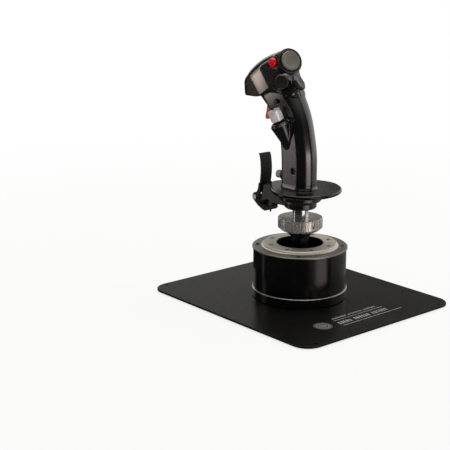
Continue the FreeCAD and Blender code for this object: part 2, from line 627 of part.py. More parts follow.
def grip_skin():
    """Both halves of the shell in one."""
    outer = grip_outer()
    skin = outer.cut(grip_inner())
    bosses = [cyl_x(5.2, 2 * HEAD_HALF_X, -HEAD_HALF_X, yz) for yz, side in JOINTS]
    for boss in bosses + cyls(4.2, 13.0, REST_Z1, COLLAR_SCREWS):
        skin = skin.fuse(boss.common(outer))
    # seats and bores of the controls
    skin = cut(skin, put(disc(14.5, -7.6, 10), TRIM_FRAME), put(disc(8.2, -28, -7), TRIM_FRAME),
               put(disc(6.7, -24, -7), TMS_FRAME), put(disc(6.7, -24, -7), DMS_FRAME),
               put(disc(6.5, -22, 4), CMS_FRAME),
               put(cone(9.3, 11.0, 19.35, (0, 0, 2.65)), CMS_FRAME),
               put(disc(10.6, -7.3, 6), DMS_FRAME), put(disc(12.0, -7.3, 6), TMS_FRAME),
               put(disc(5.8, -9.0, 2), RELEASE_FRAME), put(disc(4.4, -24.0, -8.5), RELEASE_FRAME),
               put(disc(5.4, -14.0, 2), PINKY_FRAME), put(disc(3.95, -24.0, -13.0), PINKY_FRAME),
               cyl_x(2.7, 14, -20, MASTER_YZ))
    for yz, side in JOINTS:  # head recess, clearance hole, pilot hole
        for radius, length, start in ((3.8, 19.0, 30), (1.6, 12.0, 12.0), (1.5, 9.0, 0)):
            skin = skin.cut(cyl(radius, length, (side * start, *yz), (-side, 0, 0)))
    skin = cut(skin, *cyls(1.5, 11.0, REST_Z1 - 1, COLLAR_SCREWS),
               cyl(5.0, 6.0, (0, 0, REST_Z1 - 1)),  # way through for the lead
               extrude_x(TRIGGER_SLOT, -5.6, 5.6), cyl_x(TRIGGER_PIN_R, 19, -9.5, TRIGGER_PIVOT))
    return skin.removeSplitter()


def largest_solid(shape):
    return max(shape.Solids, key=lambda solid: solid.Volume)


def grip_screw(yz, side):
    screw = fuse(cyl(3.0, 2.4, (side * 11.0, *yz), (side, 0, 0)),
                 cyl(1.5, 19.0, (side * 11.2, *yz), (-side, 0, 0)))
    return screw.cut(cyl(1.3, 1.4, (side * 12.1, *yz), (side, 0, 0)))


skin = grip_skin()
save("grip_shell_left", largest_solid(skin.common(box(-60, 0, -60, 130, 140, 330))))
save("grip_shell_right", largest_solid(skin.common(box(0, 60, -60, 130, 140, 330))))
save("grip_screws", *[grip_screw(yz, side) for yz, side in JOINTS])

# ---- hats: heights are along each control's own axis ----
POST_R, CROSS_BORE_R = 1.6, 0.6
SPIDER_INNER_R, SPIDER_R, SPIDER_HALF_H, PIN_R = 2.0, 3.2, 1.1, 0.55
HUB_INNER_R = 3.5
TRIM_PIVOT, SIDE_PIVOT, CMS_PIVOT = -6.6, -8.0, 1.0  # SIDE_PIVOT serves TMS and DMS
CMS_STEM_R = 4.0
CMS_GROOVES = 24


def trim_bezel():
    """Dish round the trim hat."""
    return revolve([(7.3, -7.6), (14.4, -7.6), (14.4, -2.5), (14.0, -2.0), (13.7, -2.0),
                    (13.3, -2.4), (13.3, -5.6), (7.3, -5.6)])


def spider(pivot):
    """Ring with two pins inwards along x and two outwards along y."""
    ring = disc(SPIDER_R, pivot - SPIDER_HALF_H, pivot + SPIDER_HALF_H)
    ring = ring.cut(disc(SPIDER_INNER_R, pivot - 3, pivot + 3))
    for side in SIDES:
        ring = ring.fuse(cyl(PIN_R, SPIDER_INNER_R - 0.9 + 0.3, (side * 0.9, 0, pivot),
                             (side, 0, 0)))
        ring = ring.fuse(cyl(PIN_R, 1.3, (0, side * (SPIDER_R - 0.3), pivot), (0, side, 0)))
    return ring.removeSplitter()


def hat_switch(pivot, top, body_r, bottom):
    """Switch body with the post that carries the spider."""
    switch = fuse(disc(body_r, bottom, top), disc(POST_R, top - 0.5, pivot + 1.4))
    return switch.cut(cyl_x(CROSS_BORE_R, 8, -4, (0, pivot)))


def hub(pivot, radius, top):
    ring = disc(radius, pivot - 1.4, top).cut(disc(HUB_INNER_R, pivot - 3, top + 1))
    return ring.cut(cyl(CROSS_BORE_R, 9.0, (0, -4.5, pivot), (0, 1, 0)))


def trim_hat():
    """Dished round cap with a shallow ring groove; its face is at 0."""
    radius, thick = 12.2, 3.2
    cap = revolve([
        (0, -thick), (radius - 0.4, -thick), (radius, -thick + 0.5), (radius, -0.7),
        (radius - 0.7, 0), (radius - 1.8, -0.15), (radius * 0.62, -0.75), (radius * 0.59, -1.0),
        (radius * 0.55, -0.85), (radius * 0.25, -1.25), (0, -1.3)])
    return fuse(cap, hub(TRIM_PIVOT, 5.2, -thick + 0.01))


def octagon_hat(radius, thick):
    """Dished eight-sided cap; its face is at 0."""
    stations = ((radius * 0.86, -thick), (radius, -thick + 1.6), (radius, -1.6),
                (radius - 1.4, 0.0))
    octagons = []
    for corner_r, z in stations:
        angles = [math.radians(22.5 + 45 * k) for k in range(9)]
        octagons.append(Part.makePolygon(
            [Vector(corner_r * math.cos(a), corner_r * math.sin(a), z) for a in angles]))
    cap = cut(Part.makeLoft(octagons, True, True), cone(1.5, radius - 2.6, 0.9, (0, 0, -0.9)),
              disc(HUB_INNER_R, -thick - 1, -thick + 1.2))
    return fuse(cap, hub(SIDE_PIVOT, 4.9, -thick + 0.01))


def cms_stem():
    return fuse(hub(CMS_PIVOT, 4.9, 3.3), disc(4.9, 3.0, 4.4), disc(CMS_STEM_R, 4.0, 11.0))


def cms_hat():
    """Fluted cap with a cross slot in its top."""
    cap = disc(8.0, 5.9, 19.0)
    for k in range(CMS_GROOVES):
        angle = 2 * math.pi * k / CMS_GROOVES
        cap = cap.cut(cyl(0.55, 9.4, (8.1 * math.cos(angle), 8.1 * math.sin(angle), 6.6)))
    cross = fuse(box(-1.5, 1.5, -9, 9, 17.6, 20), box(-9, 9, -1.5, 1.5, 17.6, 20))
    return cut(cap, cross, disc(CMS_STEM_R + 0.04, 5, 12.7))


save("trim_bezel", put(trim_bezel(), TRIM_FRAME))
save("trim_spider", put(spider(TRIM_PIVOT), TRIM_FRAME))
save("trim_hat", put(trim_hat(), TRIM_FRAME))
save("tms_spider", put(spider(SIDE_PIVOT), TMS_FRAME))
save("tms_hat", put(octagon_hat(10.8, 5.6), TMS_FRAME))
save("dms_spider", put(spider(SIDE_PIVOT), DMS_FRAME))
save("dms_hat", put(octagon_hat(9.4, 5.2), DMS_FRAME))
save("cms_spider", put(spider(CMS_PIVOT), CMS_FRAME))
save("cms_stem", put(cms_stem(), CMS_FRAME))
save("cms_hat", put(cms_hat(), CMS_FRAME))
save("hat_switches", put(hat_switch(TRIM_PIVOT, -12.0, 5.0, -19.5), TRIM_FRAME),
     put(hat_switch(SIDE_PIVOT, -13.0, 4.9, -17.6), TMS_FRAME),
     put(hat_switch(SIDE_PIVOT, -13.0, 4.9, -17.6), DMS_FRAME),
     put(hat_switch(CMS_PIVOT, -4.0, 5.2, -13.0), CMS_FRAME))

# ---- push buttons: profiles of radius and height along the button's axis ----
RELEASE = [(0, -8.0), (2.0, -8.0), (2.0, -6.2), (5.4, -6.2), (5.4, 0.4), (5.15, 1.6),
           (4.45, 2.7), (3.3, 3.55), (1.8, 4.1), (0, 4.3)]
PINKY = [(0, -14.2), (2.0, -14.2), (2.0, -11.4), (5.1, -11.4), (5.1, -1.0), (4.8, -0.3),
         (4.1, 0.0), (1.5, -0.1), (0, -0.15)]
save("release_button", put(revolve(RELEASE), RELEASE_FRAME))
save("pinky_button", put(revolve(PINKY), PINKY_FRAME))
save("master_button", fuse(cyl_x(2.55, 6.2, -19.0, MASTER_YZ), cyl_x(1.4, 2.2, -13.0, MASTER_YZ)))
save("micro_switches", put(disc(4.2, -17.0, -10.6), RELEASE_FRAME),
     put(disc(3.8, -22.5, -16.2), PINKY_FRAME),
     box(-9.4, -4.4, 25.6, 31.6, 245.8, 251.8),  # master button
     box(-3.0, 3.0, 30.0, 36.5, 226.0, 236.0),  # behind the trigger
     box(-3.6, 3.6, 50.0, 56.5, 114.5, 119.5))  # in the paddle arm

# ---- trigger and paddle: outlines of y and z ----
TRIGGER = [
    (46.3, 248.4), (49.5, 250.0), (53.2, 249.0), (56.2, 245.5), (58.6, 239.5), (59.4, 233.0),
    (61.4, 226.0), (61.0, 222.8), (58.6, 222.2), (55.6, 225.0), (53.6, 231.5), (51.6, 236.5),
    (46.8, 240.5), (45.8, 244.5)]
STRIP = [  # down the front, then up the back
    (70.2, 177.0), (68.6, 175.4), (67.5, 172.0), (66.4, 166.0), (65.8, 159.0), (65.8, 152.0),
    (66.6, 145.0), (67.8, 138.0), (69.0, 131.0), (69.8, 126.4),
    (67.0, 125.9), (66.2, 131.0), (65.0, 138.0), (63.8, 145.0), (63.0, 152.0), (62.9, 159.0),
    (63.5, 166.0), (64.6, 172.0), (65.6, 175.4), (66.6, 177.4)]
EAR = [
    (64.8, 139.0), (67.6, 139.0), (69.0, 131.0), (71.5, 126.6), (77.2, 124.6), (79.6, 120.6),
    (79.0, 116.6), (75.5, 114.0), (69.0, 109.2), (60.0, 105.2), (55.0, 104.4), (52.6, 107.2),
    (53.2, 110.6), (56.0, 112.2), (61.0, 111.6), (67.0, 114.4), (66.0, 121.0), (64.0, 130.0)]
WEB = [(75.0, 113.6), (69.0, 109.2), (60.0, 105.2), (55.0, 104.4), (52.6, 107.2),
       (53.4, 109.4), (58.6, 108.8), (67.0, 112.0), (72.0, 113.4)]
STRIP_HALF_X, EAR_X = 8.5, 10.2


def trigger():
    return cut(extrude_x(TRIGGER, -5.0, 5.0),
               cyl_x(TRIGGER_PIN_R + 0.04, 20, -10, TRIGGER_PIVOT),
               box(-1.9, 1.9, 40, 52.4, 239.0, 252))


def paddle():
    """Curved strip with two ears, and a web with a peg below."""
    return fuse(extrude_x(STRIP, -STRIP_HALF_X, STRIP_HALF_X),
                extrude_x(EAR, -EAR_X, -STRIP_HALF_X), extrude_x(EAR, STRIP_HALF_X, EAR_X),
                extrude_x(WEB, -STRIP_HALF_X, STRIP_HALF_X),
                cyl(1.1, 3.6, (0, 55.6, 101.8))).cut(PADDLE_BORE)


def paddle_pin():
    return fuse(cyl_x(PADDLE_PIN_R, 21.4, -10.7, PADDLE_PIVOT),
                cyl_x(3.2, 1.2, -11.6, PADDLE_PIVOT), cyl_x(3.2, 1.2, 10.4, PADDLE_PIVOT))


save("trigger", trigger())
save("trigger_pin", cyl_x(TRIGGER_PIN_R, 18.6, -9.3, TRIGGER_PIVOT))
save("paddle", paddle())
save("paddle_pin", paddle_pin())
save("lever_springs", coil(2.35, 0.45, 1.0, 2.6, (-1.3, *TRIGGER_PIVOT), ALONG_X),
     coil(2.9, 0.45, 1.05, 6.0, (-3.2, *PADDLE_PIVOT), ALONG_X))

# ---- grip electronics ----
LEAD = [  # x, y, z
    (0, 0, 98.0), (0, 0, 110), (0, 0, 125), (0, 0, 141.0), (0.3, 2.8, 152), (0.5, 7.8, 165),
    (0.6, 10.4, 178), (0.8, 14.0, 192), (1.2, 18.2, 206), (2.4, 18.6, 216.0),
    (4.2, 17.2, 224.0), (4.4, 17.0, 227.6)]
save("grip_board", fuse(box(6.6, 8.2, 8.0, 27.0, 222.0, 252.0),
                        box(4.2, 6.6, 12.0, 22.0, 228.0, 238.0),
                        box(2.6, 6.6, 14.0, 22.0, 243.0, 250.0)))
save("grip_lead", fuse(sweep(LEAD, 1.8), cyl(4.8, 9.0, (0, 0, 90.2))))
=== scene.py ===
# A control stick: a base plate with cans and a gimbal, a chrome neck, and a cast grip
# whose head runs out into a beak.  The frame's CAD pieces give most of it; this script
# builds the grip castings, the plate's printed marks, the materials and the studio.
# +Z is up, the beak points to +Y, and the grip's left half is at -X.
# Lengths are in mm up to the meshes; shader lengths, lights and camera are in metres.
import json
import math

import bmesh
import bpy
import numpy as np
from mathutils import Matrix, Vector


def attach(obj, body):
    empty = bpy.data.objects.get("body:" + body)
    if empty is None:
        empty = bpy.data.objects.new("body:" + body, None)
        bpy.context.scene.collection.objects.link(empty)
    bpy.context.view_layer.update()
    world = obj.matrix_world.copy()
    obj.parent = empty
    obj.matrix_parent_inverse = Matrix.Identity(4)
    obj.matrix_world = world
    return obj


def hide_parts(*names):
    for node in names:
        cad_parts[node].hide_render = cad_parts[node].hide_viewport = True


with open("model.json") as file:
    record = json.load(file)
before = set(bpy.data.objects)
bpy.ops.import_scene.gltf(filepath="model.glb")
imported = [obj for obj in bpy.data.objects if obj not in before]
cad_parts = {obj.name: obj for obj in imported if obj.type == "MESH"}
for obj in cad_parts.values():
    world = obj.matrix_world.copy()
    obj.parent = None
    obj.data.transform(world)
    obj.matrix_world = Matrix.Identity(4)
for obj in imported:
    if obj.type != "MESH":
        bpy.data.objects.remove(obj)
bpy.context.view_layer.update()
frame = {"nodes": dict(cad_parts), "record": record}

NODES = frame["nodes"]
MM = 0.001

# =============================================================================
# 1. Implicit surfaces: negative inside, positive outside
# =============================================================================


def smax(a, b, radius):
    """Intersection whose edge is rounded to a radius."""
    inside = np.minimum(np.maximum(a, b), -radius)
    return inside + np.hypot(np.maximum(a + radius, 0), np.maximum(b + radius, 0))


def smin(a, b, radius):
    """Union with a fillet in the corner."""
    return -smax(-a, -b, radius)


def box_corner(a, b):
    """Exact distance to the intersection of two perpendicular faces."""
    return np.minimum(np.maximum(a, b), 0) + np.hypot(np.maximum(a, 0), np.maximum(b, 0))


def spline(xs, ys):
    """Natural cubic spline through (xs, ys), as a function."""
    xs, ys = np.array(xs, float), np.array(ys, float)
    count = len(xs)
    gap = np.diff(xs)
    matrix = np.zeros((count, count))
    rhs = np.zeros(count)
    matrix[0, 0] = matrix[-1, -1] = 1
    for i in range(1, count - 1):
        matrix[i, i - 1:i + 2] = gap[i - 1], 2 * (gap[i - 1] + gap[i]), gap[i]
        rhs[i] = 6 * ((ys[i + 1] - ys[i]) / gap[i] - (ys[i] - ys[i - 1]) / gap[i - 1])
    bend = np.linalg.solve(matrix, rhs)

    def value(x):
        x = np.clip(np.asarray(x, float), xs[0], xs[-1])
        i = np.clip(np.searchsorted(xs, x) - 1, 0, count - 2)
        before, after, width = xs[i + 1] - x, x - xs[i], gap[i]
        return ((bend[i] * before ** 3 + bend[i + 1] * after ** 3) / (6 * width)
                + (ys[i] / width - bend[i] * width / 6) * before
                + (ys[i + 1] / width - bend[i + 1] * width / 6) * after)
    return value


def curve(points, per=8):
    """Dense points of a parametric spline through 2-D points."""
    points = np.array(points, float)
    run = np.concatenate([[0], np.cumsum(np.hypot(*np.diff(points, axis=0).T))])
    at = np.linspace(0, run[-1], per * (len(points) - 1) + 1)
    return np.stack([spline(run, points[:, 0])(at), spline(run, points[:, 1])(at)], 1)


def polygon(px, py, points):
    """Signed distance to a closed polygon."""
    points = np.array(points, float)
    px, py = np.broadcast_arrays(px, py)
    nearest = np.full(px.shape, 1e18)
    sign = np.ones(px.shape)
    for i in range(len(points)):
        a, b = points[i], points[i - 1]
        edge = b - a
        wx, wy = px - a[0], py - a[1]
        t = np.clip((wx * edge[0] + wy * edge[1]) / (edge @ edge), 0, 1)
        nearest = np.minimum(nearest, (wx - edge[0] * t) ** 2 + (wy - edge[1] * t) ** 2)
        above, below, left = py >= a[1], py < b[1], edge[0] * wy > edge[1] * wx
        crossed = (above & below & left) | (~above & ~below & ~left)
        sign = np.where(crossed, -sign, sign)
    return sign * np.sqrt(nearest)


class Axis:
    """A control's frame: origin on its face, w outward."""

    def __init__(self, origin, outward):
        self.origin = np.array(origin, float)
        self.w = np.array(outward, float) / np.linalg.norm(outward)
        u = np.cross((0, 0, 1), self.w)
        self.u = u / np.linalg.norm(u)
        self.v = np.cross(self.w, self.u)

    def local(self, x, y, z):
        q = (x - self.origin[0], y - self.origin[1], z - self.origin[2])
        return tuple(q[0] * a[0] + q[1] * a[1] + q[2] * a[2] for a in (self.u, self.v, self.w))


def rod(x, y, z, axis, radius, start, end, end_radius=None):
    """Cylinder, or cone if end_radius is given, along an axis from start to end."""
    lx, ly, lw = axis.local(x, y, z)
    if end_radius is None:
        side = np.hypot(lx, ly) - radius
    else:
        rise, length = end_radius - radius, end - start
        wide = radius + (np.clip(lw, start, end) - start) / length * rise
        side = (np.hypot(lx, ly) - wide) * math.cos(math.atan2(abs(rise), length))
    return box_corner(side, np.maximum(start - lw, lw - end))


def ball(x, y, z, centre, radius):
    return np.sqrt(sum((p - c) ** 2 for p, c in zip((x, y, z), centre))) - radius


def capsule(x, y, z, a, b, radius):
    """Round-ended rod between two points."""
    span = [b[k] - a[k] for k in range(3)]
    w = (x - a[0], y - a[1], z - a[2])
    t = np.clip(sum(w[k] * span[k] for k in range(3)) / sum(s * s for s in span), 0, 1)
    return np.sqrt(sum((w[k] - span[k] * t) ** 2 for k in range(3))) - radius


# =============================================================================
# 2. Surface-net mesher
# =============================================================================
PROBE = 0.02             # half step of the central differences
MIN_SLOPE2 = 0.2         # floor of the squared gradient, keeps moves bounded
SLAB = 24                # layers sampled at once


def surface_net(field, lo, hi, cell):
    """Closed quad mesh of field = 0 over a box, vertices pulled onto the surface."""
    n = [int(math.ceil((hi[k] - lo[k]) / cell)) + 1 for k in range(3)]
    grid = [lo[k] + cell * np.arange(n[k]) for k in range(3)]
    F = np.empty(n, np.float32)
    for k in range(0, n[2], SLAB):
        F[:, :, k:k + SLAB] = field(grid[0][:, None, None], grid[1][None, :, None],
                                    grid[2][None, None, k:k + SLAB])
    inside = F < 0
    corners = [(i, j, k) for i in (0, 1) for j in (0, 1) for k in (0, 1)]
    count = sum(inside[i:n[0] - 1 + i, j:n[1] - 1 + j, k:n[2] - 1 + k].astype(np.int8)
                for i, j, k in corners)
    crossed = (count > 0) & (count < 8)
    index = np.full(crossed.shape, -1, np.int64)
    cells = np.argwhere(crossed)
    index[crossed] = np.arange(len(cells))

    # One vertex per crossed cell, at the mean of the crossings on its edges.
    total = np.zeros((len(cells), 3))
    hits = np.zeros(len(cells))
    I, J, K = cells.T
    for a in corners:
        for b in corners:
            if a < b and sum(abs(p - q) for p, q in zip(a, b)) == 1:
                fa = F[I + a[0], J + a[1], K + a[2]].astype(float)
                fb = F[I + b[0], J + b[1], K + b[2]].astype(float)
                cut = (fa < 0) != (fb < 0)
                t = np.where(cut, fa / np.where(cut, fa - fb, 1), 0)
                for k in range(3):
                    total[:, k] += np.where(cut, a[k] + (b[k] - a[k]) * t, 0)
                hits += cut
    verts = (total / hits[:, None] + cells) * cell + np.array(lo)

    # One quad round every grid edge that crosses the surface.
    quads = []
    for axis in range(3):
        d = [0, 0, 0]
        d[axis] = 1
        first = inside[:n[0] - d[0], :n[1] - d[1], :n[2] - d[2]]
        second = inside[d[0]:, d[1]:, d[2]:]
        p, q = [(1, 2), (2, 0), (0, 1)][axis]
        edges = np.argwhere(first != second)
        keep = edges[:, axis] <= n[axis] - 2
        for k in (p, q):
            keep &= (edges[:, k] >= 1) & (edges[:, k] <= n[k] - 2)
        edges = edges[keep]
        outward = first[tuple(edges.T)]
        ring = []
        for back_p, back_q in ((1, 1), (0, 1), (0, 0), (1, 0)):
            corner = edges.copy()
            corner[:, p] -= back_p
            corner[:, q] -= back_q
            ring.append(index[tuple(corner.T)])
        quad = np.stack(ring, 1)
        quads.append(np.where(outward[:, None], quad, quad[:, ::-1]))
    quads = np.concatenate(quads)
    quads = quads[(quads >= 0).all(1)]

    # Newton steps, each held under 0.45 of a cell and damped to 0.9.
    for _ in range(3):
        x, y, z = verts.T
        value = field(x, y, z)
        slope = np.stack([field(x + PROBE, y, z) - field(x - PROBE, y, z),
                          field(x, y + PROBE, z) - field(x, y - PROBE, z),
                          field(x, y, z + PROBE) - field(x, y, z - PROBE)], 1) / (2 * PROBE)
        move = -value[:, None] * slope / np.maximum((slope ** 2).sum(1), MIN_SLOPE2)[:, None]
        length = np.maximum(np.linalg.norm(move, axis=1), 1e-9)
        move *= np.minimum(1, 0.45 * cell / length)[:, None]
        verts = verts + 0.9 * move
    return verts, quads


def link_object(name, mesh):
    obj = bpy.data.objects.new(name, mesh)
    bpy.context.scene.collection.objects.link(obj)
    return obj


def bmesh_object(name, bm):
    mesh = bpy.data.meshes.new(name)
    bm.to_mesh(mesh)
    bm.free()
    return link_object(name, mesh)


def quad_object(name, verts, quads):
    """Smooth-shaded object from arrays of vertices (mm) and quads."""
    mesh = bpy.data.meshes.new(name)
    mesh.vertices.add(len(verts))
    mesh.vertices.foreach_set("co", (verts * MM).astype(np.float32).ravel())
    mesh.loops.add(quads.size)
    mesh.loops.foreach_set("vertex_index", quads.astype(np.int32).ravel())
    mesh.polygons.add(len(quads))
    mesh.polygons.foreach_set("loop_start", np.arange(0, quads.size, 4, dtype=np.int32))
    mesh.polygons.foreach_set("loop_total", np.full(len(quads), 4, np.int32))
    mesh.update(calc_edges=True)
    mesh.validate()
    mesh.polygons.foreach_set("use_smooth", np.full(len(mesh.polygons), True))
    return link_object(name, mesh)


# =============================================================================
# 3. The cast grip: leaning tube with flat flanks, beaked head, control pods
# =============================================================================
FLANK_HALF = 15.6        # half width across the flat flanks
REAR_RADIUS = 16.3       # the tube's round back
GRIP_FOOT = 143.2
TUBE_TOP = 266.0
WALL = 2.6
FLOOR = 3.0              # thickness of the closed bottom

# Tube stations: z, y of the rear arc's centre, y where the nose starts, y of its tip
STATIONS = np.array([
    (143.1, -4.6, 15.8, 25.5), (165.0, -4.6, 16.2, 25.5), (190.0, -3.5, 17.5, 27.0),
    (208.0, -0.2, 20.5, 31.0), (226.6, 4.6, 28.5, 41.0), (243.0, 11.4, 43.0, 55.5),
    (250.5, 15.6, 51.0, 64.0), (262.0, 22.5, 57.0, 70.0)])
rear_centre_y, nose_start_y, nose_tip_y = (
    spline(STATIONS[:, 0], STATIONS[:, k]) for k in (1, 2, 3))

# Side outline of the head (y, z): smoothed top, then underside and rear as drawn
HEAD_TOP = [(29.4, 309.4), (40.0, 307.2), (51.0, 303.2), (66.5, 295.4), (81.0, 285.0),
            (92.0, 273.4), (97.8, 262.6), (96.6, 255.0), (89.6, 249.6)]
HEAD_LOW = [(68.0, 250.4), (56.0, 253.6), (42.0, 260.0), (26.0, 260.4)]
HEAD_REAR = [(3.4, 256.0), (7.0, 266.0), (10.6, 276.0), (15.9, 285.4)]
HEAD_OUTLINE = np.concatenate([curve(HEAD_TOP), HEAD_LOW, HEAD_REAR])
HEAD_HALF = 18.0         # half width at the pad
HEAD_FRONT = 98.0        # y of the beak's tip
HEAD_CORNER = 13.0       # plan radius of the beak
HEAD_BACK_RADIUS = 18.6  # round back, about HEAD_BACK_AXIS

# Flat pad on the beak's side, slot in the throat below the beak, and the head's
# lower lip, all (y, z)
PAD = [(74.8, 273.5), (58.5, 285.9), (42.1, 265.0), (57.6, 254.4)]
SLOT = [(44.6, 253.0), (57.0, 253.5), (66.0, 244.0), (66.0, 216.0), (40.0, 216.0),
        (40.0, 236.0), (43.0, 246.0)]
LIP = [(27.0, 261.2), (20.0, 260.4), (14.0, 259.4), (9.0, 257.8), (4.2, 255.6)]
SLOT_HALF = 5.6
PAD_PROUD = 0.35
LIP_RADIUS = 0.75

TRIM_AXIS = Axis((-1.96, 19.1, 299.2), (-0.235, -0.894, 0.378))      # head, facing back
REAR_AXIS = Axis((-3.5, 0.35, 275.6), (0.33, -0.75, 0.573))          # below the trim
LEFT_AXIS = Axis((-22.4, 14.0, 275.5), (-0.88, -0.45, 0.15))         # head's left side
SHOULDER_AXIS = Axis((-18.1, 34.4, 297.0), (-0.75, -0.50, 0.43))     # head's upper left
BOSS_AXIS = Axis((-21.3, 16.9, 222.9), (-0.359, 0.213, 0.909))       # left flank, facing up
LOW_AXIS = Axis((-6.0, 36.7, 156.0), (-0.25, 0.968, 0.0))            # foot, facing forward
HEAD_BACK_AXIS = Axis((0, 21.9 - 0.424 * 40, 216), (0, 0.39, 0.92))  # along the head's back
BOSS_ROOT = -27.0        # foot of the tapered boss on its axis
BOSS_ROOT_RADIUS = 7.0

LEFT_HOLE = (28.6, 248.8)    # y, z of a round hole through the left wall
LEFT_HOLE_RADIUS = 2.7
# Screw bosses inside the shell: y, z, side of x
SCREWS = [(-1.8, 166.0, -1), (8.0, 208.0, 1), (74.0, 266.0, 1), (49.0, 270.0, 1)]
SCREW_BOSS, SCREW_HEAD, SCREW_BORE = 5.2, 3.8, 1.6    # radii
SCREW_SEAT = 11.0        # distance of the counterbore's floor from the joint plane

# Solid metal kept behind the pods: axis, radius, start, end
BACKING = [(BOSS_AXIS, 12.2, 1.0, 20.0), (LEFT_AXIS, 12.6, -9.8, 6.0),
           (REAR_AXIS, 14.0, -9.8, 6.0)]
# Round recesses and bores: axis, radius, start, end, end radius of a cone
RECESSES = [
    (SHOULDER_AXIS, 6.6, -1.2, 30.0), (SHOULDER_AXIS, 5.8, -9.0, 2.0),
    (SHOULDER_AXIS, 4.4, -24.0, -8.5), (TRIM_AXIS, 14.5, -7.6, 10.0),
    (TRIM_AXIS, 8.2, -28.0, -7.0), (REAR_AXIS, 6.7, -24.0, -7.0),
    (LEFT_AXIS, 6.7, -24.0, -7.0), (BOSS_AXIS, 6.5, -22.0, 4.0),
    (LEFT_AXIS, 10.6, -7.3, 6.0), (REAR_AXIS, 12.0, -7.3, 6.0),
    (BOSS_AXIS, 9.3, 2.65, 22.0, 11.0), (LOW_AXIS, 5.4, -14.0, 2.0),
    (LOW_AXIS, 3.95, -24.0, -13.0)]


def flank_half(y, z):
    """Half width of the flanks: flat below, stepped in and flaring towards the head."""
    rise = ((z - 228.0) + 0.68 * (y - 0.3)) / 1.21     # height above the sloping step
    upper = 13.9 + 0.062 * np.clip(rise, 0, 60)
    t = np.clip(rise / 1.6 + 0.5, 0, 1)
    t = t * t * (3 - 2 * t)
    return FLANK_HALF + (upper - FLANK_HALF) * t


def tube_sdf(x, y, z):
    centre, start, tip = rear_centre_y(z), nose_start_y(z), nose_tip_y(z)
    half = flank_half(np.minimum(y, start), z)
    depth = tip - start
    across = np.abs(x)
    rear = np.where(y < centre, np.hypot(x, y - centre) - REAR_RADIUS, across - REAR_RADIUS)
    flank = smax(across - half, rear, 0.5)
    k0 = np.hypot(x / half, (y - start) / depth)
    k1 = np.maximum(np.hypot(x / half ** 2, (y - start) / depth ** 2), 1e-6)
    nose = k0 * (k0 - 1) / k1                          # elliptic front
    foot_flare = 1.7 * np.clip((147.6 - z) / 4.5, 0, 1) ** 2
    lean = 0.9                                         # level slices overstate distance
    d = np.where(y > start, nose, flank) * lean - foot_flare
    return smax(d, np.maximum(GRIP_FOOT - z, z - TUBE_TOP), 0.6)


def head_sdf(x, y, z):
    side = polygon(y, z, HEAD_OUTLINE)
    # The sides fall away from the flat pad by up to 5.5.
    half = HEAD_HALF - np.minimum(0.11 * np.maximum(polygon(y, z, PAD) - 0.2, 0), 5.5)
    plan = box_corner(np.abs(x) - half + HEAD_CORNER,
                      y - HEAD_FRONT + HEAD_CORNER) - HEAD_CORNER
    # The edge radius grows from 1.6 to 10 towards the upper front.
    top = np.clip((z - 262.0) / 14.0, 0, 1) * np.clip((y - 26.0) / 14.0, 0, 1)
    d = smax(side, plan, 1.6 + 8.4 * top)
    lx, ly, _ = HEAD_BACK_AXIS.local(x, y, z)
    back = np.minimum(np.hypot(lx, ly) - HEAD_BACK_RADIUS, 25.0 - y)
    return smax(d, back, 2.0)


def lip_points():
    """The lip's line laid on the left surface, as (x, y, z)."""
    xs = np.linspace(-24, -6, 361)
    points = []
    for y, z in LIP:
        d = np.minimum(tube_sdf(xs, y, z), head_sdf(xs, np.full(1, y), np.full(1, z)))
        points.append((float(xs[np.argmax(d < 0)]) + 0.25, y, z))
    return points


LIP_LINE = lip_points()


def outer_sdf(x, y, z):
    def post(*spec):
        return rod(x, y, z, *spec)

    d = smin(tube_sdf(x, y, z), head_sdf(x, y, z), 1.3)
    for a, b in zip(LIP_LINE[:-1], LIP_LINE[1:]):
        d = smin(d, capsule(-np.abs(x), y, z, a, b, LIP_RADIUS), 0.6)
    d = smin(d, post(REAR_AXIS, 8.0, -22.0, -7.4), 3.0)
    d = smin(d, post(LEFT_AXIS, 8.0, -19.0, -7.4), 3.0)
    # Rounded against itself the cup's field is steeper outside, so its fillet is tighter.
    cup = post(TRIM_AXIS, 16.2, -16.0, -2.4)
    d = smin(d, smax(cup, cup, 0.01), 2.5)
    root = BOSS_AXIS.origin + BOSS_AXIS.w * BOSS_ROOT
    boss = smin(post(BOSS_AXIS, BOSS_ROOT_RADIUS, BOSS_ROOT, 0.0, 12.2),
                ball(x, y, z, root, BOSS_ROOT_RADIUS), 0.5)
    d = smin(d, boss, 0.8)
    d = smin(d, post(BOSS_AXIS, 11.0, 0.0, 1.2), 0.35)
    d = smin(d, post(BOSS_AXIS, 10.2, 1.2, 2.6), 0.35)
    return smin(d, post(LOW_AXIS, 7.0, -20.0, -7.8), 2.0)


def grip_sdf(x, y, z):
    outer = outer_sdf(x, y, z)
    hollow = np.maximum(outer + WALL, GRIP_FOOT + FLOOR - z)
    for spec in BACKING:
        hollow = np.maximum(hollow, -rod(x, y, z, *spec))
    shell = np.maximum(outer, -hollow)
    cuts = [rod(x, y, z, *spec) for spec in RECESSES]
    hole = np.hypot(y - LEFT_HOLE[0], z - LEFT_HOLE[1]) - LEFT_HOLE_RADIUS
    cuts.append(np.maximum(hole, x + 6.0))
    for screw_y, screw_z, side in SCREWS:
        r = np.hypot(y - screw_y, z - screw_z)
        boss = np.maximum(np.maximum(r - SCREW_BOSS, outer), -side * x)
        shell = np.minimum(shell, boss)
        cuts.append(np.maximum(r - SCREW_HEAD, SCREW_SEAT - side * x))
        cuts.append(np.maximum(r - SCREW_BORE, -side * x))
    cuts.append(smax(polygon(y, z, SLOT), np.abs(x) - SLOT_HALF, 0.8))
    for cut in cuts:
        shell = smax(shell, -cut, 0.45)
    return shell


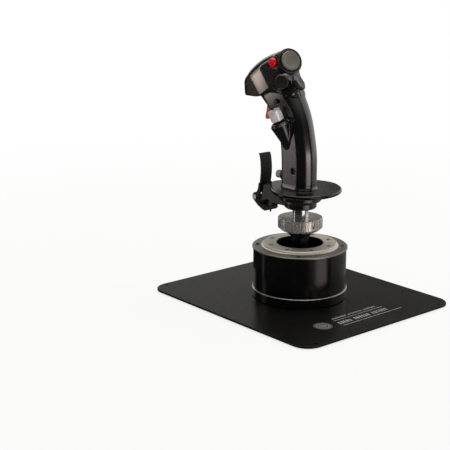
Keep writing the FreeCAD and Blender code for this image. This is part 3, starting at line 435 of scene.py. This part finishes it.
def close_seam(verts, side, cell):
    """Set the joint's vertices just off the plane, with its rim on the outer surface."""
    near = np.abs(verts[:, 0]) < 0.49 * cell
    y, z = verts[near, 1].copy(), verts[near, 2].copy()
    rim = np.abs(grip_sdf(0.0 * y, y, z)) < 0.6 * cell
    ry, rz = y[rim], z[rim]
    x = 0.0 * ry
    for _ in range(4):
        value = grip_sdf(x, ry, rz)
        gy = (grip_sdf(x, ry + PROBE, rz) - grip_sdf(x, ry - PROBE, rz)) / (2 * PROBE)
        gz = (grip_sdf(x, ry, rz + PROBE) - grip_sdf(x, ry, rz - PROBE)) / (2 * PROBE)
        slope2 = np.maximum(gy ** 2 + gz ** 2, MIN_SLOPE2)
        ry = ry - np.clip(value * gy / slope2, -0.4, 0.4)
        rz = rz - np.clip(value * gz / slope2, -0.4, 0.4)
    y[rim], z[rim] = ry, rz
    verts[near, 0], verts[near, 1], verts[near, 2] = -side * 0.012, y, z
    return verts


CELL = 0.8


def grip_half(name, side, x_low, x_high):
    """One casting: side 1 is the left (-X) half, side -1 the right."""
    verts, quads = surface_net(lambda x, y, z: np.maximum(grip_sdf(x, y, z), side * x),
                               (x_low, -27.0, 141.0), (x_high, 101.5, 317.0), CELL)
    return quad_object(name, close_seam(verts, side, CELL), quads)


# The grids sit half a cell off x = 0, so no sample falls on the joint plane.
grip_left = grip_half("grip_casting_left", 1, -CELL * (math.ceil(37.0 / CELL) + 0.5), 1.5)
grip_right = grip_half("grip_casting_right", -1, -1.5 * CELL, 20.5)
for obj, shell_name in ((grip_left, "grip_shell_left"), (grip_right, "grip_shell_right")):
    for face in obj.data.polygons:
        if abs(face.normal.x) > 0.98 and abs(face.center.x) < 0.05 * MM:
            face.use_smooth = False
    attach(obj, "stick")
    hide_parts(shell_name)


def beak_pad():
    """Bevelled plate on the left of the beak."""
    bm = bmesh.new()
    outer, inner = ([bm.verts.new((x * MM, y * MM, z * MM)) for y, z in PAD]
                    for x in (-(HEAD_HALF + PAD_PROUD), -16.6))
    bm.faces.new(outer)
    bm.faces.new(inner[::-1])
    for i in range(len(PAD)):
        j = (i + 1) % len(PAD)
        bm.faces.new((outer[i], inner[i], inner[j], outer[j]))
    bmesh.ops.recalc_face_normals(bm, faces=bm.faces)
    bmesh.ops.bevel(bm, geom=list(bm.edges), offset=0.35 * MM, segments=3, profile=0.6,
                    affect="EDGES")
    obj = bmesh_object("beak_pad", bm)
    for face in obj.data.polygons:
        face.use_smooth = True
    return obj


pad = beak_pad()
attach(pad, "stick")

# =============================================================================
# 4. Plain printed marks on the plate
# =============================================================================
PLATE_TOP = 3.70
MARK_Z = (PLATE_TOP - 0.02, PLATE_TOP + 0.05)
DISC_CENTRE = (-59.4, -103.5)
DISC_RINGS = [(10.4, 11.2), (6.0, 9.4), (0.3, 5.0)]    # inner and outer radii


def mark_mesh(name, outlines):
    """Thin prisms over (x, y) outlines."""
    bm = bmesh.new()
    for outline in outlines:
        low, high = ([bm.verts.new((x * MM, y * MM, z * MM)) for x, y in outline]
                     for z in MARK_Z)
        bm.faces.new(low[::-1])
        bm.faces.new(high)
        for i in range(len(outline)):
            j = (i + 1) % len(outline)
            bm.faces.new((low[i], low[j], high[j], high[i]))
    return bmesh_object(name, bm)


def ring_mesh(name, centre, rings, segments=72):
    """Flat concentric rings of rectangular section."""
    z0, z1 = MARK_Z
    bm = bmesh.new()
    for r0, r1 in rings:
        sections = []
        for k in range(segments):
            a = 2 * math.pi * k / segments
            sections.append([
                bm.verts.new(((centre[0] + r * math.cos(a)) * MM,
                              (centre[1] + r * math.sin(a)) * MM, z * MM))
                for r, z in ((r0, z0), (r1, z0), (r1, z1), (r0, z1))])
        for k in range(segments):
            a, b = sections[k], sections[(k + 1) % segments]
            for i in range(4):
                j = (i + 1) % 4
                bm.faces.new((a[i], b[i], b[j], a[j]))
    bmesh.ops.recalc_face_normals(bm, faces=bm.faces)
    return bmesh_object(name, bm)


def bar(x0, x1, y0, y1, radius, steps=5):
    """Outline of a bar with rounded corners."""
    points = []
    for cx, cy, turn in ((x1 - radius, y1 - radius, 0), (x0 + radius, y1 - radius, 90),
                         (x0 + radius, y0 + radius, 180), (x1 - radius, y0 + radius, 270)):
        for k in range(steps + 1):
            a = math.radians(turn + 90 * k / steps)
            points.append((cx + radius * math.cos(a), cy + radius * math.sin(a)))
    return points


def ticks(x0, x1, y0, y1, step, duty, skip):
    """Row of blocks, each filling the share duty of its step, without those in skip."""
    out, x, k = [], x0, 0
    while x + step * duty <= x1:
        if k not in skip:
            out.append([(x, y0), (x + step * duty, y0), (x + step * duty, y1), (x, y1)])
        x += step
        k += 1
    return out


mark_bars = mark_mesh("plate_mark_bars", [
    bar(-38, 46, -100.0, -99.2, radius=0.3),
    bar(-39, 62, -117.8, -116.8, radius=0.4),
    *ticks(-34, 42, -95.0, -92.2, step=3.0, duty=0.55, skip=(8, 17)),
    *ticks(-38, 45, -112.2, -105.4, step=4.4, duty=0.52, skip=(5, 12))])
mark_disc = ring_mesh("plate_mark_disc", DISC_CENTRE, DISC_RINGS)
for obj in (mark_bars, mark_disc):
    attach(obj, "base")

# =============================================================================
# 5. Materials
# =============================================================================


class Graph:
    """Short-hand for building shader nodes."""

    def __init__(self, tree):
        self.tree = tree
        tree.nodes.clear()

    def node(self, kind, inputs=None, **props):
        node = self.tree.nodes.new(kind)
        for key, value in props.items():
            setattr(node, key, value)
        for key, value in (inputs or {}).items():
            self.put(node.inputs[key], value)
        return node

    def put(self, socket, value):
        if isinstance(value, bpy.types.NodeSocket):
            self.tree.links.new(value, socket)
        elif isinstance(value, tuple) and socket.type == "RGBA":
            socket.default_value = (*value, 1)
        else:
            socket.default_value = value

    def math(self, operation, *values):
        inputs = dict(enumerate(values))
        return self.node("ShaderNodeMath", inputs, operation=operation).outputs[0]

    def add(self, a, b):
        return self.math("ADD", a, b)

    def sub(self, a, b):
        return self.math("SUBTRACT", a, b)

    def mul(self, a, b):
        return self.math("MULTIPLY", a, b)

    def vector(self, operation, *values):
        node = self.node("ShaderNodeVectorMath", dict(enumerate(values)), operation=operation)
        scalar = operation in ("DOT_PRODUCT", "LENGTH")
        return node.outputs["Value" if scalar else "Vector"]

    def remap(self, value, low, high, to_low=0.0, to_high=1.0, kind="SMOOTHSTEP"):
        inputs = dict(enumerate((value, low, high, to_low, to_high)))
        return self.node("ShaderNodeMapRange", inputs, interpolation_type=kind).outputs[0]

    def mix(self, factor, a, b):
        node = self.node("ShaderNodeMix", {"Factor": factor}, data_type="RGBA")
        colours = {s.name: s for s in node.inputs if s.type == "RGBA"}
        self.put(colours["A"], a)
        self.put(colours["B"], b)
        return [s for s in node.outputs if s.type == "RGBA"][0]

    def blend(self, factor, shader_a, shader_b):
        node = self.node("ShaderNodeMixShader", {"Fac": factor})
        self.put(node.inputs[1], shader_a.outputs[0])
        self.put(node.inputs[2], shader_b.outputs[0])
        return node

    def noise(self, vector, scale, detail, rough, distortion=0.0):
        return self.node("ShaderNodeTexNoise", {
            "Vector": vector, "Scale": scale, "Detail": detail, "Roughness": rough,
            "Distortion": distortion}).outputs[0]

    def bevel(self, radius):
        """Normal rounded over edges, radius in mm."""
        return self.node("ShaderNodeBevel", {"Radius": radius * MM}, samples=4).outputs[0]

    def vary(self, value, noise, amount):
        """Value swung up and down by a noise."""
        return self.add(value, self.mul(self.sub(noise, 0.5), amount))


def shade(colour, factor):
    return tuple(c * factor for c in colour)


def worn_edges(g, geometry, pos, amount, dense):
    """Mask of broken wear on edges; dense meshes read it from their pointiness."""
    if dense:
        edge = g.remap(geometry.outputs["Pointiness"], low=0.53, high=0.60)
    else:
        facing = g.vector("DOT_PRODUCT", g.bevel(0.45), geometry.outputs["True Normal"])
        edge = g.remap(g.sub(1.0, facing), low=0.04, high=0.22)
    patches = g.remap(g.noise(pos, scale=420.0, detail=5.0, rough=0.75),
                      low=0.62 - 0.28 * amount, high=0.74 - 0.20 * amount)
    return g.mul(edge, patches)


def lathe_lines(g, coords, scale):
    """Noise drawn out into circles round the object's Z."""
    part = g.node("ShaderNodeSeparateXYZ", {"Vector": coords}).outputs
    radius = g.math("SQRT", g.add(g.mul(part[0], part[0]), g.mul(part[1], part[1])))
    line = g.add(g.mul(radius, 1.0), g.mul(part[2], 0.73))
    along = g.node("ShaderNodeCombineXYZ", {"X": g.mul(line, scale), "Y": 0.0, "Z": 0.0})
    return g.noise(along.outputs[0], scale=1.0, detail=3.0, rough=0.7)


def material(name, colour, rough=0.4, metallic=0.0, ior=1.5, alt=None, blotch=35.0,
             rough_var=0.10, grain=(2600.0, 0.02), peel=None, wear=None, wear_amt=0.5,
             bevel=0.25, turned=None, aniso=0.0, smudge=0.0, dense=False, dust=0.0, spec=0.5):
    """Principled surface with blotches, grain and optional wear.

    alt and wear are colours; grain, peel (paint ripple) and turned (lathe lines) are each
    (noise scale, height in mm); blotch is a noise scale; bevel is a radius in mm; smudge
    is added roughness; wear_amt and dust are amounts from 0 to 1.
    """
    mat = bpy.data.materials.new(name)
    mat.use_nodes = True
    g = Graph(mat.node_tree)
    coords = g.node("ShaderNodeTexCoord").outputs["Object"]
    pos = g.node("ShaderNodeMapping", {"Vector": coords}).outputs[0]
    if wear or dust or not bevel:
        geometry = g.node("ShaderNodeNewGeometry")
    big = g.noise(pos, blotch, detail=4.0, rough=0.6)
    mid = g.noise(pos, blotch * 9, detail=4.0, rough=0.6, distortion=0.6)
    fine = g.noise(pos, grain[0], detail=2.0, rough=0.6)

    alt = alt or tuple(min(1.0, c * 1.25 + 0.004) for c in colour)
    col = g.mix(g.mul(g.remap(big, low=0.35, high=0.68), 0.6), colour, alt)
    col = g.mix(g.remap(mid, low=0.55, high=0.75, to_high=0.25), col, shade(colour, 0.72))
    roughness = g.vary(rough, big, rough_var * 1.6)
    roughness = g.vary(roughness, mid, rough_var)
    if smudge:
        smears = g.noise(pos, blotch * 2.3, detail=5.0, rough=0.7, distortion=2.5)
        roughness = g.add(roughness, g.mul(g.remap(smears, low=0.52, high=0.70), smudge))
    if wear:
        worn = worn_edges(g, geometry, pos, wear_amt, dense)
        col = g.mix(g.mul(worn, 0.85), col, wear)
        roughness = g.add(roughness, g.mul(worn, 0.12))

    height = g.mul(fine, grain[1])
    if peel:
        ripple = g.noise(pos, peel[0], detail=2.0, rough=0.5)
        height = g.add(height, g.mul(ripple, peel[1]))
    if turned:
        lines = lathe_lines(g, coords, turned[0])
        height = g.add(height, g.mul(lines, turned[1]))
        roughness = g.vary(roughness, lines, 0.25)
        col = g.mix(g.remap(lines, low=0.4, high=0.7, to_high=0.18), col, shade(colour, 0.6))
    if dust:
        up = g.node("ShaderNodeSeparateXYZ", {"Vector": geometry.outputs["Normal"]}).outputs[2]
        specks = g.noise(pos, scale=2300.0, detail=3.0, rough=0.8)
        mask = g.mul(g.remap(up, low=0.5, high=1.0), g.remap(specks, low=0.60, high=0.78))
        col = g.mix(g.mul(mask, dust), col, (0.5, 0.48, 0.45))

    normal = g.bevel(bevel) if bevel else geometry.outputs["Normal"]
    bump = g.node("ShaderNodeBump", {"Strength": 1.0, "Distance": 1.0 * MM,
                                     "Height": height, "Normal": normal})
    limited = g.math("MAXIMUM", g.math("MINIMUM", roughness, 0.95), 0.06)
    surface = g.node("ShaderNodeBsdfPrincipled", {
        "Base Color": col, "Roughness": limited, "Metallic": metallic, "IOR": ior,
        "Specular IOR Level": spec, "Normal": bump.outputs[0],
        "Coat Weight": 0.0, "Coat Roughness": 0.1})
    if aniso:
        tangent = g.node("ShaderNodeTangent", direction_type="RADIAL", axis="Z")
        g.put(surface.inputs["Anisotropic"], aniso)
        g.put(surface.inputs["Tangent"], tangent.outputs[0])
    g.node("ShaderNodeOutputMaterial", {"Surface": surface.outputs[0]})
    return mat


MATERIALS = {
    "base_pad": material("pad_rubber", (0.012, 0.012, 0.012), rough=0.85,
        grain=(1400, 0.08), spec=0.3),
    "base_plate": material("plate_powder_coat", (0.0042, 0.0040, 0.0038), rough=0.30,
        ior=1.45, peel=(900, 0.010), grain=(3800, 0.010), wear=(0.10, 0.098, 0.09),
        wear_amt=0.9, rough_var=0.06, blotch=14, smudge=0.05, dust=0.02, bevel=0.35, spec=0.22),
    "lower_can": material("lower_can_paint", (0.006, 0.0056, 0.0055), rough=0.16,
        peel=(260, 0.010), wear=(0.12, 0.11, 0.10), smudge=0.10, rough_var=0.05),
    "trim_band": material("band_steel", (0.52, 0.50, 0.46), rough=0.28, metallic=1.0,
        turned=(2600, 0.006), rough_var=0.08, bevel=0.3, wear=(0.7, 0.68, 0.64)),
    "main_can": material("can_paint", (0.0035, 0.0033, 0.0034), rough=0.13,
        peel=(220, 0.008), wear=(0.10, 0.09, 0.09), smudge=0.10, rough_var=0.05, blotch=22),
    "top_flange": material("flange_steel", (0.27, 0.27, 0.25), rough=0.34, metallic=1.0,
        turned=(1500, 0.010), wear=(0.6, 0.58, 0.54), bevel=0.3, aniso=0.4),
    "opening_ring": material("ring_aluminium", (0.66, 0.61, 0.54), rough=0.42,
        metallic=0.75, turned=(1300, 0.014), rough_var=0.12, wear=(0.8, 0.76, 0.7),
        bevel=0.35, alt=(0.72, 0.67, 0.60), aniso=0.3),
    "opening_liner": material("liner_plastic", (0.006, 0.006, 0.006), rough=0.25,
        grain=(2400, 0.01)),
    "screws": material("screw_steel", (0.10, 0.10, 0.10), rough=0.38, metallic=0.9,
        wear=(0.4, 0.4, 0.38), rough_var=0.15),
    "standoff": material("standoff_steel", (0.55, 0.55, 0.54), rough=0.3, metallic=1.0,
        turned=(2200, 0.01)),
    "gimbal_black": material("gimbal_nylon", (0.016, 0.013, 0.016), rough=0.20, ior=2.2,
        peel=(300, 0.02), wear=(0.05, 0.05, 0.05), smudge=0.2),
    "bush": material("bush_brass", (0.62, 0.44, 0.18), rough=0.3, metallic=1.0,
        turned=(2500, 0.01)),
    "spring": material("spring_wire", (0.5, 0.5, 0.52), rough=0.25, metallic=1.0,
        grain=(1800, 0.01)),
    "board": material("board_mask", (0.02, 0.12, 0.05), rough=0.35, grain=(1200, 0.03),
        blotch=160, alt=(0.05, 0.22, 0.09)),
    "magnet": material("magnet_nickel", (0.6, 0.6, 0.6), rough=0.16, metallic=1.0),
    "shaft": material("ground_steel", (0.60, 0.59, 0.57), rough=0.22, metallic=1.0,
        turned=(2600, 0.006), wear=(0.75, 0.74, 0.70)),
    "cable": material("cable_jacket", (0.014, 0.014, 0.014), rough=0.55,
        grain=(2200, 0.03), peel=(700, 0.02), spec=0.4),
    "plug": material("plug_moulding", (0.016, 0.016, 0.016), rough=0.5,
        grain=(1800, 0.04), wear=(0.08, 0.08, 0.08)),
    "adapter": material("blackened_steel", (0.010, 0.010, 0.010), rough=0.32,
        metallic=0.3, turned=(1800, 0.01), wear=(0.25, 0.24, 0.22)),
    "neck": material("neck_chrome", (0.88, 0.87, 0.84), rough=0.14, metallic=1.0,
        turned=(2400, 0.004), rough_var=0.06, smudge=0.10, wear=(0.8, 0.78, 0.75)),
    "nut": material("nut_aluminium", (0.74, 0.71, 0.67), rough=0.26, metallic=0.75,
        grain=(1500, 0.035), peel=(600, 0.03), wear=(0.85, 0.82, 0.78), wear_amt=1.0,
        rough_var=0.18, bevel=0.3, alt=(0.46, 0.44, 0.42)),
    "washer": material("washer_nylon", (0.7, 0.69, 0.65), rough=0.5),
    "grip_black": material("grip_cast_paint", (0.0036, 0.0034, 0.0036), rough=0.17,
        ior=2.0, peel=(420, 0.007), grain=(2600, 0.0022), smudge=0.06, bevel=0,
        rough_var=0.06, blotch=30),
    "collar_black": material("collar_paint", (0.0042, 0.0040, 0.0042), rough=0.22,
        ior=1.8, peel=(420, 0.014), wear=(0.16, 0.15, 0.145), smudge=0.10,
        rough_var=0.06, blotch=30, bevel=0.5),
    "pad_satin": material("beak_pad_satin", (0.52, 0.44, 0.39), rough=0.30, metallic=0.8,
        grain=(2600, 0.006), wear=(0.8, 0.72, 0.68), wear_amt=0.9, rough_var=0.05,
        alt=(0.55, 0.47, 0.42)),
    "rest_black": material("rest_paint", (0.0026, 0.0025, 0.0026), rough=0.19,
        peel=(380, 0.015), wear=(0.16, 0.15, 0.145), wear_amt=0.6, smudge=0.10,
        rough_var=0.07, bevel=0.5, dust=0.04),
    "arm_grey": material("arm_casting", (0.030, 0.027, 0.024), rough=0.42, ior=1.6,
        peel=(500, 0.04), grain=(1800, 0.03), wear=(0.25, 0.23, 0.21), wear_amt=0.7,
        bevel=0.9),
    "trim_cap": material("trim_cap_paint", (0.185, 0.175, 0.145), rough=0.36,
        metallic=0.25, grain=(1900, 0.012), wear=(0.45, 0.43, 0.38), wear_amt=0.8,
        smudge=0.08, bevel=0.3, alt=(0.22, 0.21, 0.175)),
    "bezel": material("bezel_metal", (0.05, 0.048, 0.045), rough=0.25, metallic=0.9,
        wear=(0.55, 0.53, 0.5), wear_amt=1.0, bevel=0.3),
    "hat_black": material("hat_plastic", (0.012, 0.012, 0.011), rough=0.36,
        grain=(1600, 0.035), peel=(500, 0.03), wear=(0.15, 0.148, 0.14), wear_amt=0.7,
        bevel=0.45),
    "paddle_black": material("paddle_plastic", (0.0045, 0.0045, 0.0045), rough=0.40,
        grain=(1500, 0.03), wear=(0.12, 0.12, 0.115), wear_amt=0.4, bevel=0.5, spec=0.35),
    "silver": material("knurled_aluminium", (0.90, 0.88, 0.86), rough=0.32,
        metallic=0.55, grain=(1600, 0.02), wear=(0.9, 0.88, 0.85), wear_amt=1.0, bevel=0.35),
    "red": material("red_plastic", (0.62, 0.006, 0.012), rough=0.20, grain=(1800, 0.008),
        peel=(400, 0.01), wear=(0.8, 0.1, 0.1), wear_amt=0.3, bevel=0.3,
        alt=(0.70, 0.012, 0.02)),
    "red_trigger": material("trigger_red", (0.50, 0.045, 0.045), rough=0.32,
        grain=(1800, 0.012), wear=(0.75, 0.35, 0.33), wear_amt=0.7, bevel=0.5,
        alt=(0.55, 0.06, 0.06)),
    "grey_button": material("pinky_grey", (0.30, 0.28, 0.26), rough=0.38,
        grain=(1600, 0.02), wear=(0.4, 0.38, 0.36), bevel=0.3),
    "switch": material("switch_body", (0.02, 0.02, 0.02), rough=0.45, grain=(1600, 0.03),
        bevel=0.2),
}
SLOT_OF = {part["node"]: part.get("material_slot") for part in frame["record"]["subparts"]}
# Nodes that don't take the material of their slot
SPECIAL = {"paddle_arm": "arm_grey", "trim_bezel": "bezel", "paddle": "paddle_black",
           "grip_collar": "collar_black", "trigger": "red_trigger", "hand_rest": "rest_black"}


def dress(obj, mat):
    if not obj.data.materials:
        obj.data.materials.append(None)
    for slot in obj.material_slots:
        slot.link = "OBJECT"
        slot.material = mat


for node_name, obj in NODES.items():
    dress(obj, MATERIALS[SPECIAL.get(node_name) or SLOT_OF[node_name]])
for obj in (grip_left, grip_right):
    dress(obj, MATERIALS["grip_black"])
dress(pad, MATERIALS["pad_satin"])
dress(mark_bars, material("print_grey", (0.46, 0.45, 0.43), rough=0.5, grain=(1500, 0.01),
                          blotch=120, alt=(0.10, 0.10, 0.09), bevel=0))
dress(mark_disc, material("disc_grey", (0.34, 0.335, 0.32), rough=0.4, metallic=0.6,
                          grain=(1500, 0.02), blotch=200, alt=(0.2, 0.195, 0.185), bevel=0))

# =============================================================================
# 6. Studio: pale floor, soft light, camera
# =============================================================================
CAMERA_PLACE = (-0.9514, -0.9919, 0.4629)
CAMERA_FORWARD = (0.619, 0.741, -0.259)
CAMERA_LENS = 90.6
TOWARDS = (-0.641, -0.768)                # level direction to the camera
RIGHT = (-TOWARDS[1], TOWARDS[0])         # level direction to its right


def build_world():
    """Soft cards on a dark surround, seen in reflections; plain white to the camera."""
    world = bpy.data.worlds.new("studio")
    bpy.context.scene.world = world
    world.use_nodes = True
    g = Graph(world.node_tree)
    generated = g.node("ShaderNodeTexCoord").outputs["Generated"]
    part = g.node("ShaderNodeSeparateXYZ",
                  {"Vector": g.vector("NORMALIZE", generated)}).outputs
    to_camera, to_right = (g.add(g.mul(part[0], way[0]), g.mul(part[1], way[1]))
                           for way in (TOWARDS, RIGHT))
    # Degrees: azimuth is 0 at the camera and positive to its right.
    azimuth = g.mul(g.math("ARCTAN2", to_right, to_camera), 180 / math.pi)
    elevation = g.mul(g.math("ARCSINE", part[2]), 180 / math.pi)
    full_turn = g.math("MODULO", g.add(azimuth, 360.0), 360.0)    # 0 to 360

    def by_elevation(stops):
        """Strength from (elevation, strength) stops."""
        share = g.remap(elevation, -90.0, 90.0, kind="LINEAR")
        node = g.node("ShaderNodeValToRGB", {"Fac": share})
        elements = node.color_ramp.elements
        top = max(strength for _, strength in stops)
        while len(elements) > 1:
            elements.remove(elements[-1])
        for i, (angle, strength) in enumerate(stops):
            place = (angle + 90) / 180
            element = elements[0] if i == 0 else elements.new(place)
            element.position = place
            element.color = (*[strength / top] * 3, 1)
        return g.mul(node.outputs[0], top)

    def window(angle, low, high, soft):
        """1 between two angles, with edges soft degrees either way."""
        above = g.math("DIVIDE", g.sub(angle, low), soft)
        below = g.math("DIVIDE", g.sub(high, angle), soft)
        return g.mul(g.remap(above, -1.0, 1.0), g.remap(below, -1.0, 1.0))

    def slide(start, end, at_start, at_end):
        """An edge that moves between two azimuths over a range of elevation."""
        return g.remap(elevation, start, end, at_start, at_end, kind="LINEAR")

    def card(angle, low, high, soft, stops):
        return g.mul(window(angle, low, high, soft), by_elevation(stops))

    def tint(value, colour):
        grey = g.node("ShaderNodeCombineXYZ", {"X": value, "Y": value, "Z": value})
        return g.vector("MULTIPLY", grey.outputs[0], colour)

    # main softbox, to the camera's right
    softbox = card(azimuth, slide(-16.0, -13.0, 38.0, 19.0), slide(-16.0, -13.0, 67.0, 57.0),
                   4.0, [(-70, 0.2), (-30, 0.8), (-18, 1.35), (-14, 1.1), (-12, 1.5),
                         (-7, 2.6), (-1, 2.7), (4, 0.5), (9, 0.06), (45, 0.04), (80, 0.0)])
    # narrow card on the left
    strip = card(azimuth, -107.0, slide(-14.6, -13.0, -103.0, -95.4), 1.1,
                 [(-70, 0.05), (-24, 0.25), (-18, 0.42), (-14, 0.55), (-12.5, 0.75),
                  (-11, 1.15), (-9, 2.0), (5, 2.2), (22, 1.4), (35, 0.3), (60, 0.0)])
    # broad soft light on the right, dimmed high up at its far end
    broad = card(azimuth, 80.0, 176.0, 7.0,
                 [(-70, 0.05), (-30, 0.14), (-17, 0.18), (-11, 0.45), (-6, 0.8), (0, 1.0),
                  (12, 0.95), (30, 0.8), (45, 0.3), (70, 0.05)])
    far_end = window(azimuth, 162.0, 180.0, 5.0)
    dimmed = g.mul(far_end, g.mul(window(elevation, 6.0, 60.0, 4.0), 0.93))
    broad = g.mul(broad, g.sub(1.0, dimmed))
    # bright wall opposite the camera and to the left, with a brighter part
    wall = card(full_turn, 176.0, 216.0, 1.8,
                [(-20, 0.0), (-4, 0.02), (3, 0.25), (10, 0.42), (24, 0.40), (38, 0.1),
                 (60, 0.0)])
    bright = card(full_turn, 193.0, 216.0, 2.5,
                  [(-5, 0.0), (6, 0.1), (11, 0.9), (26, 1.1), (36, 0.2), (50, 0.0)])
    overhead = by_elevation([(-90, 0.03), (-30, 0.012), (0, 0.008), (20, 0.012), (45, 0.25),
                             (70, 1.1), (90, 1.4)])
    total = tint(softbox, (1.0, 0.87, 0.82))
    for light, colour in ((strip, (1.0, 0.93, 0.89)), (broad, (1.0, 0.975, 0.945)),
                          (wall, (1.0, 0.99, 0.96)), (bright, (1.0, 0.99, 0.97)),
                          (g.add(overhead, 0.003), (1.0, 0.985, 0.96))):
        total = g.vector("ADD", total, tint(light, colour))

    lit = g.node("ShaderNodeBackground", {"Color": total, "Strength": 1.0})
    seen = g.node("ShaderNodeBackground", {"Color": (1, 1, 1), "Strength": 1.0})
    camera_ray = g.node("ShaderNodeLightPath").outputs["Is Camera Ray"]
    mixed = g.blend(camera_ray, lit, seen)
    g.node("ShaderNodeOutputWorld", {"Surface": mixed.outputs[0]})


def aim(obj, place, direction):
    obj.location = place
    obj.rotation_mode = "QUATERNION"
    obj.rotation_quaternion = direction.to_track_quat("-Z", "Y")


def area(name, place, target, size, power, colour):
    light = bpy.data.lights.new(name, "AREA")
    light.energy = power
    light.color = colour
    light.shape = "SQUARE"
    light.size = size
    obj = link_object(name, light)
    aim(obj, place, Vector(target) - Vector(place))
    obj.visible_camera = False
    return obj


def build_floor():
    """Pale floor, glowing more with distance so that it fades into white."""
    bm = bmesh.new()
    bmesh.ops.create_grid(bm, x_segments=2, y_segments=2, size=6.0)
    floor = bmesh_object("studio_floor", bm)
    floor.location = (0, 0, -0.0003)
    floor.visible_glossy = False
    floor.visible_shadow = False
    mat = bpy.data.materials.new("floor_pale")
    mat.use_nodes = True
    g = Graph(mat.node_tree)
    diffuse = g.node("ShaderNodeBsdfDiffuse", {"Color": (0.86, 0.86, 0.855)})
    glow = g.node("ShaderNodeEmission", {"Color": (1, 1, 1), "Strength": 1.0})
    coords = g.node("ShaderNodeTexCoord").outputs["Object"]
    far = g.remap(g.vector("LENGTH", coords), low=0.25, high=1.3)
    mixed = g.blend(g.add(0.80, g.mul(far, 0.20)), diffuse, glow)
    g.node("ShaderNodeOutputMaterial", {"Surface": mixed.outputs[0]})
    floor.data.materials.append(mat)


def build_camera():
    data = bpy.data.cameras.new("camera")
    data.sensor_width = 36.0
    data.lens = CAMERA_LENS
    data.clip_end = 50
    camera = link_object("camera", data)
    aim(camera, CAMERA_PLACE, Vector(CAMERA_FORWARD).normalized())
    bpy.context.scene.camera = camera


build_world()
area("overhead_soft", (0.25, 0.35, 1.7), target=(0, 0, 0.1), size=1.5, power=13.0,
     colour=(1.0, 0.98, 0.95))
right_soft = area("right_soft", (1.5, -0.9, 1.0), target=(0, 0, 0.15), size=0.8, power=5.0,
                  colour=(1.0, 0.96, 0.92))
right_soft.visible_glossy = False
build_floor()
build_camera()
bpy.context.scene.view_settings.view_transform = "Standard"
bpy.context.scene.view_settings.look = "None"

bpy.context.view_layer.update()
